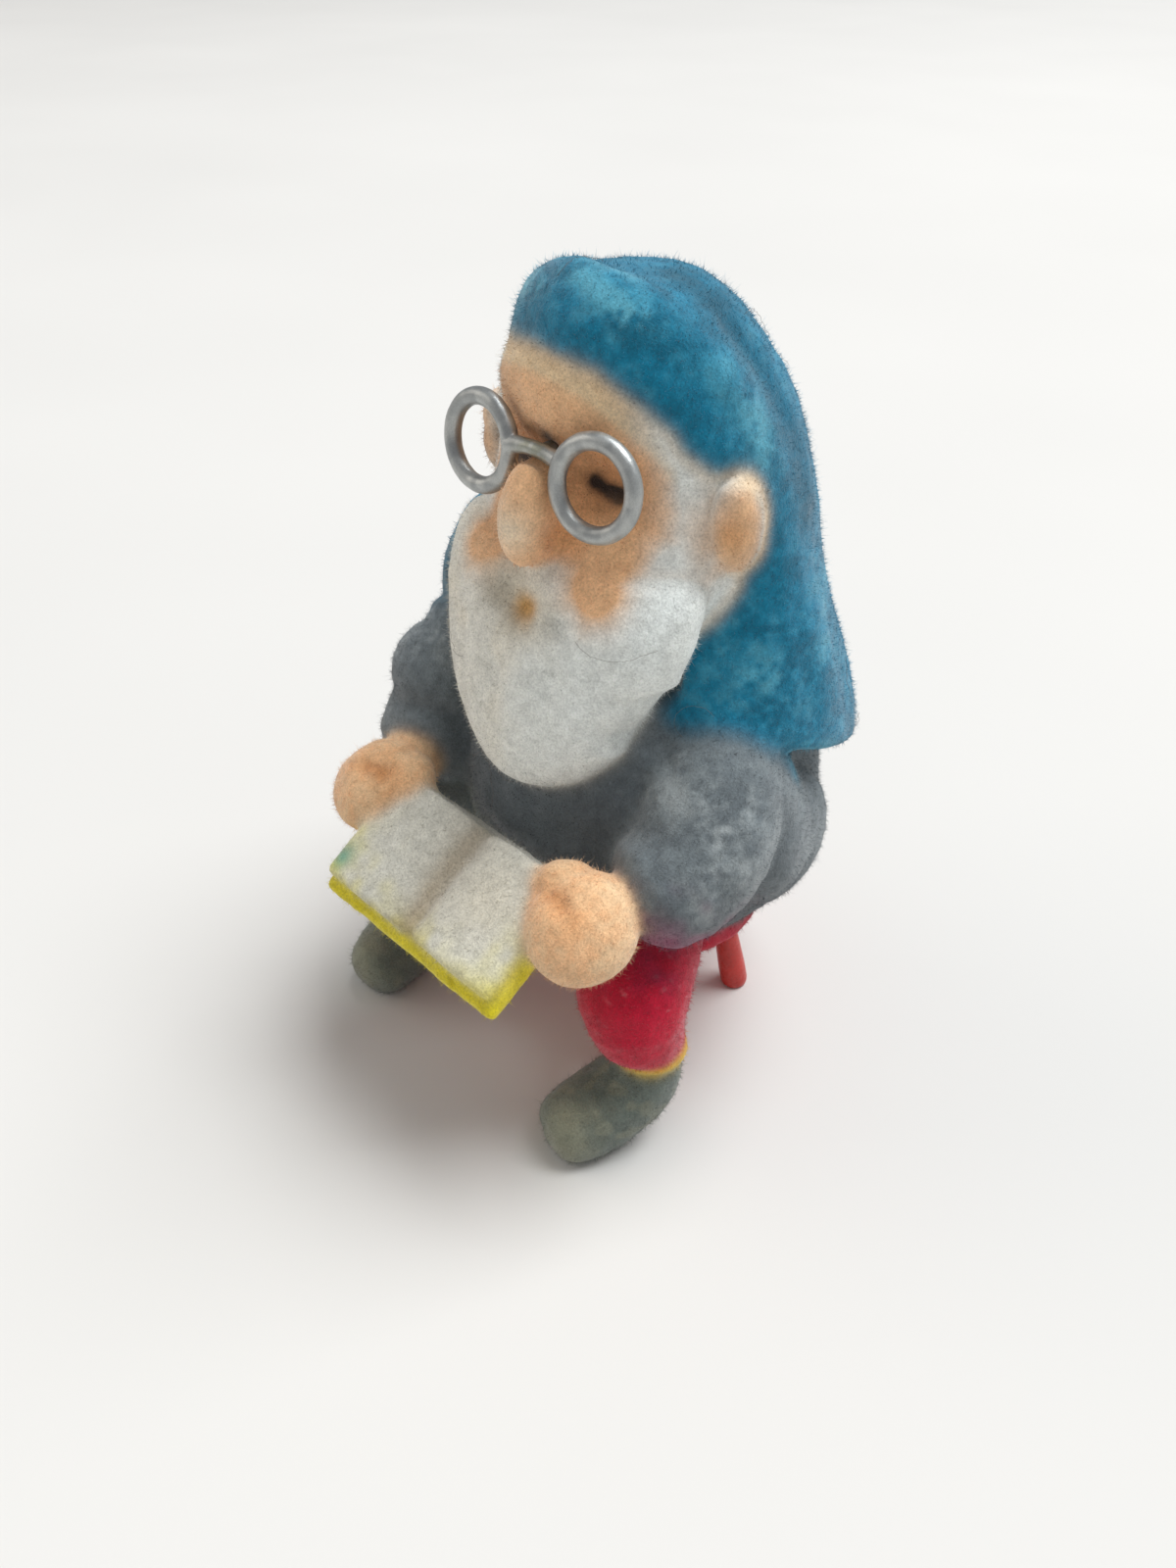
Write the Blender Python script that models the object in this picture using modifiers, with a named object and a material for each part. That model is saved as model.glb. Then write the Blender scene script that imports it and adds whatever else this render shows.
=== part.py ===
"""A small flocked figurine: a bearded gnome who sits on a four-legged stool and reads an open book.

The figure is a hard core of moulded pieces that locate on pegs and are glued. Each piece stands 0.3 mm
clear of its neighbours, which is the glue line. Lengths in this file are millimetres until point() turns
them into metres. +Z is up, the gnome faces -Y, and its left hand is at +X. The depth coordinate y counts
back from the tips of the boots; point() moves the origin to the middle of the footprint.
"""

import math

import bmesh
import bpy
from mathutils import Matrix, Vector

MM = 0.001
CLEARANCE = 0.3
MIDDLE_Y = 18.93
SIDES = {"left": 1, "right": -1}
TOE_X = {"left": 12.6, "right": 15.6}
SHOULDER_LIFT = {"left": 0.0, "right": 2.6}

# Stool
SEAT_TOP = 12.6
SEAT_THICKNESS = 2.6
SEAT_HALF_WIDTH = 11.8
SEAT_HALF_DEPTH = 8.8
SEAT_Y = 20.8
LEG_RADIUS = 1.5
FOOT_X = 11.3
FOOT_Y = 8.2
LEG_TOP_X = 9.9
LEG_TOP_Y = 6.8
TENON_RADIUS = 0.9
TENON_LENGTH = 1.6
DOWEL_RADIUS = 1.6
DOWEL_LENGTH = 6.0

# Figure
HEM = (16.0, 41.6)
HEM_SLOPE = math.radians(21)
HOOD_TOP_SHIFT = (0.8, 0.8, 0.7, 0.4, 0.2)
JACKET_SPLIT_Y = 24.5
PEG_RADIUS = 1.3
CUFF_LOW = 10.6
CUFF_TOP = 11.75
SHANK_RADIUS = 1.7

# Book
BOOK_HALF_WIDTH = 11.6
BOOK_LENGTH = 13.0
BOOK_SLOPE = math.radians(30.5)
BOOK_FRONT = Vector((0.0, -5.2, 21.6))
COVER_THICKNESS = 1.0
COVER_LIFT = 0.5
PAGES_THICKNESS = 1.5
PAGES_BULGE = 1.0
PAGES_INSET = 0.5
PAGES_FRONT_INSET = 1.2

# Spectacles
RIM_SPACING = 6.3
RIM_RADIUS = 3.75
WIRE_RADIUS = 0.68
RIM_CENTRE = Vector((0.0, 11.4, 62.4))
RIM_LEAN = math.radians(10)

COATS = {
    "hood_blue": ((0.012, 0.20, 0.36), 0.95, 0.0),
    "skin": ((0.68, 0.38, 0.19), 0.95, 0.0),
    "beard_white": ((0.62, 0.61, 0.57), 0.95, 0.0),
    "jacket_grey": ((0.16, 0.19, 0.21), 0.95, 0.0),
    "trouser_red": ((0.42, 0.01, 0.03), 0.95, 0.0),
    "cuff_yellow": ((0.70, 0.50, 0.03), 0.95, 0.0),
    "boot_grey": ((0.11, 0.13, 0.12), 0.95, 0.0),
    "paper_white": ((0.56, 0.54, 0.47), 0.95, 0.0),
    "cover_yellow": ((0.70, 0.56, 0.02), 0.95, 0.0),
    "stool_red": ((0.48, 0.01, 0.005), 0.25, 0.0),
    "dowel_wood": ((0.60, 0.42, 0.24), 0.7, 0.0),
    "silver": ((0.62, 0.64, 0.66), 0.35, 0.8),
}


# ---------------------------------------------------------------- helpers


def clear_scene():
    for obj in list(bpy.data.objects):
        bpy.data.objects.remove(obj)


def new_collection(name):
    collection = bpy.data.collections.new(name)
    bpy.context.scene.collection.children.link(collection)
    return collection


def new_material(name):
    colour, roughness, metallic = COATS[name]
    material = bpy.data.materials.new(name)
    material.use_nodes = True
    shader = material.node_tree.nodes["Principled BSDF"]
    shader.inputs["Base Color"].default_value = (*colour, 1.0)
    shader.inputs["Roughness"].default_value = roughness
    shader.inputs["Metallic"].default_value = metallic
    material.diffuse_color = (*colour, 1.0)
    return material


def point(x, y, z):
    return Vector((x, y - MIDDLE_Y, z)) * MM


def piece(name, bm, coat):
    """A named object of the figurine from a bmesh, shaded smooth."""
    bmesh.ops.recalc_face_normals(bm, faces=bm.faces)
    mesh = bpy.data.meshes.new(name)
    bm.to_mesh(mesh)
    bm.free()
    mesh.shade_smooth()
    mesh.set_sharp_from_angle(angle=math.radians(50))
    obj = bpy.data.objects.new(name, mesh)
    obj.data.materials.append(bpy.data.materials.get(coat) or new_material(coat))
    FIGURINE.objects.link(obj)
    return obj


def add_cage(bm, rings):
    """A closed cage through rings of points, each of as many corners, with a flat end at both ends."""
    loops = [[bm.verts.new(corner) for corner in ring] for ring in rings]
    count = len(loops[0])
    for near, far in zip(loops, loops[1:]):
        for i in range(count):
            j = (i + 1) % count
            bm.faces.new((near[i], near[j], far[j], far[i]))
    bm.faces.new(loops[0])
    bm.faces.new(list(reversed(loops[-1])))


def level_ring(corners, z, front, back, half_width, middle=None, square=1.0):
    """An oval ring at height z, widest at y = middle. A square below 1 makes its front half boxier."""
    middle = (front + back) / 2 if middle is None else middle
    ring = []
    for i in range(corners):
        t = math.tau * i / corners
        x, y = math.sin(t), math.cos(t)
        power = square if y > 0 else 1.0
        x = math.copysign(abs(x) ** power, x)
        y = math.copysign(abs(y) ** power, y) * (middle - front if y > 0 else back - middle)
        ring.append(point(half_width * x, middle - y, z))
    return ring


def path_rings(path, side, corners, reference):
    """Oval rings square to a path of (x, y, z, width radius, height radius), mirrored to one side."""
    middles = [Vector((side * x, y, z)) for x, y, z, _, _ in path]
    rings = []
    for i, (middle, (_, _, _, wide, tall)) in enumerate(zip(middles, path)):
        along = (middles[min(i + 1, len(path) - 1)] - middles[max(i - 1, 0)]).normalized()
        across = along.cross(reference).normalized()
        up = across.cross(along)
        ring = []
        for k in range(corners):
            turn = math.tau * k / corners
            ring.append(point(*(middle + across * wide * math.cos(turn) + up * tall * math.sin(turn))))
        rings.append(ring)
    return rings


def soft_form(name, rings, coat, levels=1):
    bm = bmesh.new()
    add_cage(bm, rings)
    obj = piece(name, bm, coat)
    rounding = obj.modifiers.new("rounding", "SUBSURF")
    rounding.levels = rounding.render_levels = levels
    return obj


def ball(name, centre, radii, coat, turn=(0, 0, 0), detail=2):
    """An oval ball, turned by degrees about X, Y and Z."""
    bm = bmesh.new()
    bmesh.ops.create_icosphere(bm, subdivisions=detail, radius=1.0)
    size = Matrix.Diagonal([radius * MM for radius in radii]).to_4x4()
    rotation = Matrix.Identity(4)
    for axis, degrees in zip("XYZ", turn):
        rotation = Matrix.Rotation(math.radians(degrees), 4, axis) @ rotation
    bmesh.ops.transform(bm, matrix=Matrix.Translation(point(*centre)) @ rotation @ size, verts=bm.verts)
    return piece(name, bm, coat)


def rod(name, start, end, radius, coat, end_radius=None, corners=12):
    """A straight round rod between two places."""
    start, end = point(*start), point(*end)
    along = end - start
    bm = bmesh.new()
    bmesh.ops.create_cone(
        bm,
        cap_ends=True,
        segments=corners,
        radius1=radius * MM,
        radius2=(end_radius or radius) * MM,
        depth=along.length,
    )
    turn = along.to_track_quat("Z", "Y").to_matrix().to_4x4()
    bmesh.ops.transform(bm, matrix=Matrix.Translation((start + end) / 2) @ turn, verts=bm.verts)
    return piece(name, bm, coat)


def peg(name, sign, start, end, coat):
    """A locating peg between two places given for the left side."""
    ends = [(sign * x, y, z) for x, y, z in (start, end)]
    return rod(name, *ends, PEG_RADIUS, coat)


def box(name, low, high, coat):
    low, high = point(*low), point(*high)
    bm = bmesh.new()
    bmesh.ops.create_cube(bm, size=1.0)
    size = Matrix.Diagonal(high - low).to_4x4()
    bmesh.ops.transform(bm, matrix=Matrix.Translation((low + high) / 2) @ size, verts=bm.verts)
    return piece(name, bm, coat)


def evaluated_mesh(obj):
    graph = bpy.context.evaluated_depsgraph_get()
    graph.update()
    mesh = bpy.data.meshes.new_from_object(obj.evaluated_get(graph))
    mesh.transform(obj.matrix_world)
    return mesh


def make_cutter(obj):
    """Sets an object aside as a cutter."""
    FIGURINE.objects.unlink(obj)
    CUTTERS.objects.link(obj)
    obj.hide_render = True
    obj.display_type = "WIRE"
    return obj


def room_for(obj, gap=CLEARANCE):
    """A cutter that is the object's own shape grown by the gap."""
    mesh = evaluated_mesh(obj)
    normals = [vertex.normal.copy() for vertex in mesh.vertices]
    for vertex, normal in zip(mesh.vertices, normals):
        vertex.co += normal * gap * MM
    cutter = bpy.data.objects.new("room_for_" + obj.name, mesh)
    FIGURINE.objects.link(cutter)
    return make_cutter(cutter)


def combine(obj, other, operation):
    """A Boolean step. The grown cutters fold over themselves a little, which only this solver accepts."""
    step = obj.modifiers.new(operation.lower() + "_" + other.name, "BOOLEAN")
    step.operation = operation
    step.solver = "MANIFOLD"
    step.object = other


def cut(obj, *cutters):
    for cutter in cutters:
        combine(obj, cutter, "DIFFERENCE")


def join(obj, *additions):
    """Unites each addition with the object."""
    for addition in additions:
        combine(obj, make_cutter(addition), "UNION")


def copy_of(obj, name):
    twin = bpy.data.objects.new(name, evaluated_mesh(obj))
    FIGURINE.objects.link(twin)
    return twin


# ---------------------------------------------------------------- pieces


def make_head():
    """The bare head under the hood, with its nose, ears and neck."""
    levels = (
        (72.5, 15.5, 26.0, 5.0),
        (69.5, 11.6, 30.0, 9.0),
        (65.8, 12.0, 33.0, 12.0),
        (62.2, 14.0, 34.3, 13.2),
        (58.0, 12.4, 34.5, 13.6),
        (53.5, 11.4, 33.6, 13.2),
        (49.5, 12.6, 31.5, 11.6),
        (45.5, 16.0, 28.5, 8.4),
    )
    head = soft_form("head", [level_ring(14, *level) for level in levels], "skin")
    nose = ball("nose", (0, 11.2, 58.8), (2.3, 2.9, 4.6), "skin", turn=(-17, 0, 0))
    ears = [
        ball("ear_" + side, (sign * 13.0, 20.3, 58.8), (1.7, 2.5, 4.1), "skin", turn=(12, 0, sign * 14))
        for side, sign in SIDES.items()
    ]
    neck = rod("neck", (0, 22.5, 50), (0, 23.0, 39.5), 5.5, "skin", corners=14)
    join(head, nose, *ears, neck)
    return head


def make_beard():
    """The beard, a cup over the chin and cheeks that ends in a blunt point."""
    levels = (
        (55.5, 12.4, 22.5, 12.6),
        (53.0, 9.9, 21.5, 13.8),
        (49.0, 8.4, 20.5, 13.8),
        (44.5, 7.0, 19.0, 12.4),
        (40.0, 6.3, 17.0, 10.2),
        (36.4, 6.2, 15.5, 6.8),
        (34.2, 7.2, 13.4, 3.6),
    )
    return soft_form("beard", [level_ring(14, *level) for level in levels], "beard_white")


def finish_beard(beard, head, head_room):
    """Hollows the beard for the chin and gives it a peg that enters the chin."""
    chin_peg = peg("beard_peg", 1, (0, 11.5, 49.5), (0, 15.6, 50.5), "beard_white")
    cut(head, room_for(chin_peg))
    cut(beard, head_room)
    join(beard, chin_peg)


def make_jacket():
    """The round jacket as one closed form, which is split into shells later."""
    levels = (
        (44.5, 15.0, 33.0, 9.0),
        (41.5, 11.0, 37.5, 13.0),
        (36.0, 8.0, 41.5, 16.2),
        (29.5, 6.6, 43.6, 17.6),
        (23.0, 7.0, 43.6, 18.0),
        (18.2, 8.8, 41.0, 17.4),
        (14.8, 12.6, 35.5, 15.0),
    )
    return soft_form("jacket", [level_ring(14, *level) for level in levels], "jacket_grey")


def make_jacket_hollow():
    """The space inside the jacket's shells, thick-walled in front where the beard and the book press in."""
    levels = (
        (40.0, 19.0, 32.5, 7.0),
        (36.0, 15.0, 38.0, 11.6),
        (29.5, 12.4, 41.0, 14.4),
        (23.0, 12.2, 41.2, 14.8),
        (18.5, 13.8, 38.6, 14.0),
        (14.0, 16.5, 33.0, 11.0),
    )
    rings = [level_ring(14, *level) for level in levels]
    return make_cutter(soft_form("jacket_hollow", rings, "jacket_grey"))


def make_sleeve(side, sign):
    lift = SHOULDER_LIFT[side]
    path = (
        (12.0, 20.4, 39.8 + lift, 4.6, 4.6),
        (14.6 + lift / 2, 18.2, 35.8 + lift, 6.4 + lift / 4, 6.2 + lift / 4),
        (16.0, 15.4, 31.6, 7.1, 6.8),
        (15.9, 11.4, 28.9, 6.2, 6.0),
        (14.1, 7.2, 28.6, 5.0, 4.9),
    )
    return soft_form("sleeve_" + side, path_rings(path, sign, 10, Vector((0, 0, 1))), "jacket_grey")


def make_hand(side, sign):
    """A mitten of a hand with a thumb, bent over the edge of the book."""
    palm_turn = (24, sign * 12, sign * 20)
    hand = ball("hand_" + side, (sign * 13.5, 3.0, 28.5), (4.6, 5.0, 3.9), "skin", palm_turn, detail=3)
    thumb_turn = (18, 0, sign * 30)
    thumb = ball("thumb_" + side, (sign * 10.6, 4.2, 30.4), (2.9, 2.3, 2.0), "skin", thumb_turn, detail=3)
    join(hand, thumb)
    return hand


def book_placed(bm):
    """Lays book geometry, drawn flat with its front edge on the X axis, on the slope of the lap."""
    slope = Matrix.Rotation(BOOK_SLOPE, 4, "X")
    bmesh.ops.transform(bm, matrix=Matrix.Translation(point(*BOOK_FRONT)) @ slope, verts=bm.verts)


def extruded_outline(outline, front, back):
    """A bmesh of an (x, z) outline in millimetres, run from y = front to y = back."""
    bm = bmesh.new()
    ends = [[bm.verts.new((x * MM, y * MM, z * MM)) for x, z in outline] for y in (front, back)]
    for i in range(len(outline)):
        j = (i + 1) % len(outline)
        bm.faces.new((ends[0][i], ends[0][j], ends[1][j], ends[1][i]))
    bm.faces.new(ends[0])
    bm.faces.new(list(reversed(ends[1])))
    return bm


def make_cover():
    edge = BOOK_HALF_WIDTH
    top = COVER_LIFT + COVER_THICKNESS
    outline = [(-edge, COVER_LIFT), (0, 0), (edge, COVER_LIFT)]
    outline += [(edge, top), (0, COVER_THICKNESS), (-edge, top)]
    bm = extruded_outline(outline, 0, BOOK_LENGTH)
    book_placed(bm)
    cover = piece("book_cover", bm, "cover_yellow")
    rounded = cover.modifiers.new("rounded_edges", "BEVEL")
    rounded.width = 0.35 * MM
    rounded.segments = 2
    return cover


def make_pages(side, sign):
    """One half of the open pages: low in the gutter, arched, and low again at the outer edge."""
    width = BOOK_HALF_WIDTH - PAGES_INSET
    floor = COVER_THICKNESS + CLEARANCE
    lift = COVER_LIFT / BOOK_HALF_WIDTH
    gutter = 0.25
    outline = [(sign * width, floor + lift * width), (sign * gutter, floor)]
    steps = 9
    for i in range(steps + 1):
        share = i / steps
        x = gutter + (width - gutter) * share
        arch = PAGES_BULGE * math.sin(math.pi * share**0.7)
        outline.append((sign * x, floor + lift * x + PAGES_THICKNESS + arch - 0.9 * (1 - share) ** 4))
    bm = extruded_outline(outline, PAGES_FRONT_INSET, BOOK_LENGTH - PAGES_INSET)
    book_placed(bm)
    pages = piece("pages_" + side, bm, "paper_white")
    rounded = pages.modifiers.new("rounded_edges", "BEVEL")
    rounded.width = 0.55 * MM
    rounded.segments = 3
    rounded.limit_method = "ANGLE"
    rounded.angle_limit = math.radians(40)
    return pages


def make_hips():
    """The seat of the trousers, flat below where it sits on the stool, and a plug inside the jacket."""
    levels = (
        (20.5, 15.0, 34.0, 11.0),
        (17.5, 11.0, 36.8, 15.0),
        (14.2, 9.6, 36.0, 16.2),
        (11.4, 12.6, 33.0, 12.4),
    )
    hips = soft_form("trousers_seat", [level_ring(14, *level) for level in levels], "trouser_red")
    under = SEAT_TOP + CLEARANCE
    cut(hips, make_cutter(box("under_hips", (-30, -10, 0), (30, 60, under), "trouser_red")))
    return hips


def make_leg(side, sign):
    path = (
        (9.4, 18.0, 17.6, 5.6, 4.9),
        (12.2, 12.5, 18.0, 6.2, 5.6),
        (14.4, 8.0, 17.0, 6.4, 5.8),
        (15.9, 7.4, 14.6, 4.9, 4.9),
        (16.4, 8.6, 12.0, 3.6, 3.6),
        (16.5, 8.9, 9.2, 3.2, 3.2),
    )
    leg = soft_form("trouser_leg_" + side, path_rings(path, sign, 10, Vector((1, 0, 0))), "trouser_red")
    below = (-40, -20, 0), (40, 60, CUFF_TOP + CLEARANCE)
    cut(leg, make_cutter(box("under_leg_" + side, *below, "trouser_red")))
    return leg


def ankle(sign, z):
    return (sign * 16.5, 8.9, z)


def make_cuff(side, sign):
    """A flat band round the ankle, turned as a ring."""
    outer = 3.3
    inner = SHANK_RADIUS + CLEARANCE
    middle = (CUFF_LOW + CUFF_TOP) / 2
    profile = [(inner, CUFF_TOP), (outer - 0.3, CUFF_TOP), (outer, CUFF_TOP - 0.3), (outer + 0.25, middle)]
    profile += [(outer, CUFF_LOW + 0.3), (outer - 0.3, CUFF_LOW), (inner, CUFF_LOW), (inner, CUFF_TOP)]
    cuff = turned_piece("cuff_" + side, profile, 20, "cuff_yellow")
    cuff.location = point(*ankle(sign, 0))


def make_boot(side, sign):
    """A soft boot with a flat sole and a round shank that plugs through the cuff into the trouser leg."""
    toe = TOE_X[side]
    path = (
        (16.5, 8.9, 13.2, 2.9, 2.9),
        (16.5, 8.9, 10.2, 3.2, 3.2),
        (16.6, 8.6, 7.4, 3.8, 3.8),
        ((16.8 + toe) / 2 + 0.5, 6.2, 4.4, 4.1, 4.2),
        (toe + 1.0, 2.2, 2.7, 4.2, 4.1),
        (toe, -1.2, 2.3, 3.1, 3.1),
    )
    boot = soft_form("boot_" + side, path_rings(path, sign, 10, Vector((1, 0, 0))), "boot_grey")
    cut(boot, make_cutter(box("under_boot_" + side, (-40, -20, -10), (40, 60, 0), "boot_grey")))
    above = (-40, -20, CUFF_LOW - CLEARANCE), (40, 60, 20)
    cut(boot, make_cutter(box("over_boot_" + side, *above, "boot_grey")))
    shank = ankle(sign, CUFF_LOW - 2), ankle(sign, CUFF_TOP + 2.4)
    join(boot, rod("shank_" + side, *shank, SHANK_RADIUS, "boot_grey"))
    return boot


def make_rim(name, sign):
    """One round wire rim, leaning back a little."""
    bpy.ops.mesh.primitive_torus_add(
        major_segments=26,
        minor_segments=8,
        major_radius=RIM_RADIUS * MM,
        minor_radius=WIRE_RADIUS * MM,
        location=point(*(RIM_CENTRE + Vector((sign * RIM_SPACING, 0, 0)))),
        rotation=(math.pi / 2 - RIM_LEAN, 0, 0),
    )
    rim = bpy.context.object
    rim.name = name
    for collection in list(rim.users_collection):
        collection.objects.unlink(rim)
    FIGURINE.objects.link(rim)
    rim.data.materials.append(bpy.data.materials.get("silver") or new_material("silver"))
    rim.data.shade_smooth()
    return rim


def make_spectacles(head):
    """Two rims and a bridge in one casting, with a pin behind the bridge that enters the nose."""
    spectacles = make_rim("spectacles", 1)
    x, y, z = RIM_CENTRE
    reach = RIM_SPACING - RIM_RADIUS + 0.1
    bridge = rod("bridge", (-reach, y, z + 0.7), (reach, y, z + 0.7), 0.75, "silver")
    pin = rod("bridge_pin", (0, y, z + 0.7), (0, y + 3.2, z + 0.7), 0.55, "silver", corners=10)
    cut(head, room_for(pin), room_for(bridge))
    join(spectacles, bridge, pin, make_rim("far_rim", -1))


def turned_piece(name, profile, steps, coat):
    """A bmesh turned about its own Z axis from an (r, z) profile that runs down its outer side."""
    bm = bmesh.new()
    corners = [bm.verts.new((radius * MM, 0, z * MM)) for radius, z in profile]
    for start, end in zip(corners, corners[1:]):
        bm.edges.new((start, end))
    obj = piece(name, bm, coat)
    turned = obj.modifiers.new("turned", "SCREW")
    turned.angle = math.tau
    turned.steps = turned.render_steps = steps
    turned.use_merge_vertices = True
    turned.merge_threshold = 0.00001
    turned.use_smooth_shade = True
    return obj


def make_seat():
    """The stool's seat, a slab with round corners and soft edges."""
    low = (-SEAT_HALF_WIDTH, SEAT_Y - SEAT_HALF_DEPTH, SEAT_TOP - SEAT_THICKNESS)
    seat = box("stool_seat", low, (SEAT_HALF_WIDTH, SEAT_Y + SEAT_HALF_DEPTH, SEAT_TOP), "stool_red")
    bm = bmesh.new()
    bm.from_mesh(seat.data)
    upright = [edge for edge in bm.edges if abs(edge.verts[0].co.z - edge.verts[1].co.z) > MM]
    bmesh.ops.bevel(bm, geom=upright, offset=3.4 * MM, segments=5, affect="EDGES", profile=0.5)
    bm.to_mesh(seat.data)
    bm.free()
    softened = seat.modifiers.new("soft_edges", "BEVEL")
    softened.width = 0.5 * MM
    softened.segments = 2
    softened.limit_method = "ANGLE"
    softened.angle_limit = math.radians(60)
    return seat


def make_stool_leg(name, sign, back):
    """A tapered round leg, splayed outwards, with a blunt foot and a tenon that enters the seat."""
    foot = point(sign * FOOT_X, SEAT_Y + back * FOOT_Y, 0)
    lean = point(sign * LEG_TOP_X, SEAT_Y + back * LEG_TOP_Y, SEAT_TOP - SEAT_THICKNESS) - foot
    top = lean.length / MM - CLEARANCE * 1.6
    profile = [(0.0, top + TENON_LENGTH), (TENON_RADIUS, top + TENON_LENGTH), (TENON_RADIUS, top)]
    profile += [(LEG_RADIUS * 0.8, top), (LEG_RADIUS, 2.6), (LEG_RADIUS, 0.5)]
    profile += [(LEG_RADIUS * 0.8, -0.6), (0.0, -0.6)]
    leg = turned_piece(name, profile, 14, "stool_red")
    leg.location = foot
    leg.rotation_euler = lean.to_track_quat("Z", "Y").to_euler()
    cut(leg, make_cutter(box("under_" + name, (-40, -20, -10), (40, 60, 0), "stool_red")))
    return leg


def make_dowel():
    low = SEAT_TOP - SEAT_THICKNESS / 2
    ends = (0, SEAT_Y, low), (0, SEAT_Y, low + DOWEL_LENGTH)
    return rod("seat_dowel", *ends, DOWEL_RADIUS, "dowel_wood")


def make_hood():
    """The hood and its shoulder cape as one closed form, before the head is taken out of it."""
    levels = (
        (75.0, 15.2, 25.0, 4.2, 19.8, 1.0),
        (73.2, 12.9, 28.8, 7.2, 20.0, 1.0),
        (69.6, 12.8, 32.3, 10.2, 21.5, 0.88),
        (65.0, 14.2, 35.0, 12.9, 23.5, 0.76),
        (59.5, 18.6, 36.4, 14.6, 25.0, 0.85),
        (52.5, 19.6, 37.3, 15.7, 25.5, 0.9),
        (45.5, 16.4, 40.2, 17.6, 26.0, 0.9),
        (38.5, 13.0, 44.0, 20.0, 26.8, 0.9),
        (31.5, 12.5, 45.0, 20.6, 27.0, 0.9),
        (26.5, 14.0, 41.5, 17.2, 27.0, 0.9),
    )
    rings = [level_ring(16, *level) for level in levels]
    for ring, shift in zip(rings, HOOD_TOP_SHIFT):
        for corner in ring:
            corner.x += shift * MM
    hood = soft_form("hood", rings, "hood_blue")
    below = box("below_hem", (-40, -60, -60), (40, 60, 0), "hood_blue")
    below.matrix_world = Matrix.Translation(point(0, *HEM)) @ Matrix.Rotation(-HEM_SLOPE, 4, "X")
    throat = box("throat", (-10, -10, 20), (10, 21, 49), "hood_blue")
    collar = rod("collar", (0, 23, 34), (0, 23, 49.5), 9.2, "hood_blue", corners=16)
    cut(hood, make_cutter(below), make_cutter(throat), make_cutter(collar))
    for side, sign in SIDES.items():
        recess = ball("ear_recess_" + side, (sign * 12.1, 20.1, 61.7), (1.4, 1.9, 1.6), "hood_blue")
        cut(hood, make_cutter(recess))
    return hood


def split_jacket(jacket, cutters):
    """The jacket's front and back shells, with a glue line at their seam."""
    seam = {"front": (JACKET_SPLIT_Y - CLEARANCE / 2, 80), "back": (-40, JACKET_SPLIT_Y + CLEARANCE / 2)}
    for end, (low_y, high_y) in seam.items():
        shell = copy_of(jacket, "jacket_" + end)
        beyond = make_cutter(box("beyond_" + end, (-50, low_y, -10), (50, high_y, 90), "jacket_grey"))
        cut(shell, beyond, *cutters)
    bpy.data.objects.remove(jacket)


def build():
    head = make_head()
    head_room = room_for(head)
    make_spectacles(head)
    beard = make_beard()
    beard_room = room_for(beard)
    finish_beard(beard, head, head_room)

    jacket = make_jacket()
    jacket_room = room_for(jacket)
    pages = [make_pages(side, sign) for side, sign in SIDES.items()]
    book_rooms = [room_for(obj) for obj in (*pages, make_cover())]

    hips = make_hips()
    hips_room = room_for(hips)
    seat = make_seat()
    seat_room = room_for(seat)
    dowel_room = room_for(make_dowel())
    cut(hips, dowel_room)
    cut(seat, dowel_room)

    peg_rooms, sleeve_rooms = [], []
    for side, sign in SIDES.items():
        sleeve = make_sleeve(side, sign)
        sleeve_rooms.append(room_for(sleeve))
        hand = make_hand(side, sign)
        sleeve_peg = peg("sleeve_peg_" + side, sign, (15.5, 20, 33), (11.5, 20, 33), "jacket_grey")
        peg_rooms.append(room_for(sleeve_peg))
        wrist = peg("wrist_" + side, sign, (14.0, 5.5, 28.6), (15.2, 9.4, 27.8), "skin")
        cut(sleeve, jacket_room, beard_room, *book_rooms, room_for(hand), room_for(wrist))
        join(sleeve, sleeve_peg)
        cut(hand, *book_rooms, jacket_room)
        join(hand, wrist)

        leg = make_leg(side, sign)
        leg_peg = peg("leg_peg_" + side, sign, (11.0, 14.0, 16.8), (8.6, 19.0, 16.4), "trouser_red")
        leg_peg_room = room_for(leg_peg)
        cut(hips, leg_peg_room)
        boot = make_boot(side, sign)
        cut(leg, jacket_room, hips_room, seat_room, *book_rooms, sleeve_rooms[-1], room_for(boot))
        join(leg, leg_peg)
        peg_rooms.append(leg_peg_room)
        make_cuff(side, sign)

    hood = make_hood()
    cut(hood, head_room, beard_room, jacket_room, *sleeve_rooms)
    neighbours = [head_room, beard_room, *book_rooms, *peg_rooms, hips_room, dowel_room]
    split_jacket(jacket, [make_jacket_hollow(), *neighbours])

    for end, back in (("front", -1), ("rear", 1)):
        for side, sign in SIDES.items():
            cut(seat, room_for(make_stool_leg(f"stool_leg_{end}_{side}", sign, back)))


clear_scene()
FIGURINE = new_collection("gnome_figurine")
CUTTERS = new_collection("cutters")
build()
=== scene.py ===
"""Looks of a flocked gnome figurine on a small red stool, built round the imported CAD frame.

The moulded pieces of the figure get one continuous coat of short fibres. The coat is grown over
the CAD nodes, given its folds and hollows, sprayed with soft-edged colours, and then cut into
one closed shell per node. Lengths are in metres unless a comment says mm.
"""

import math

import bmesh
import bpy
import numpy as np
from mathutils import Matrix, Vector
from mathutils.bvhtree import BVHTree


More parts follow.
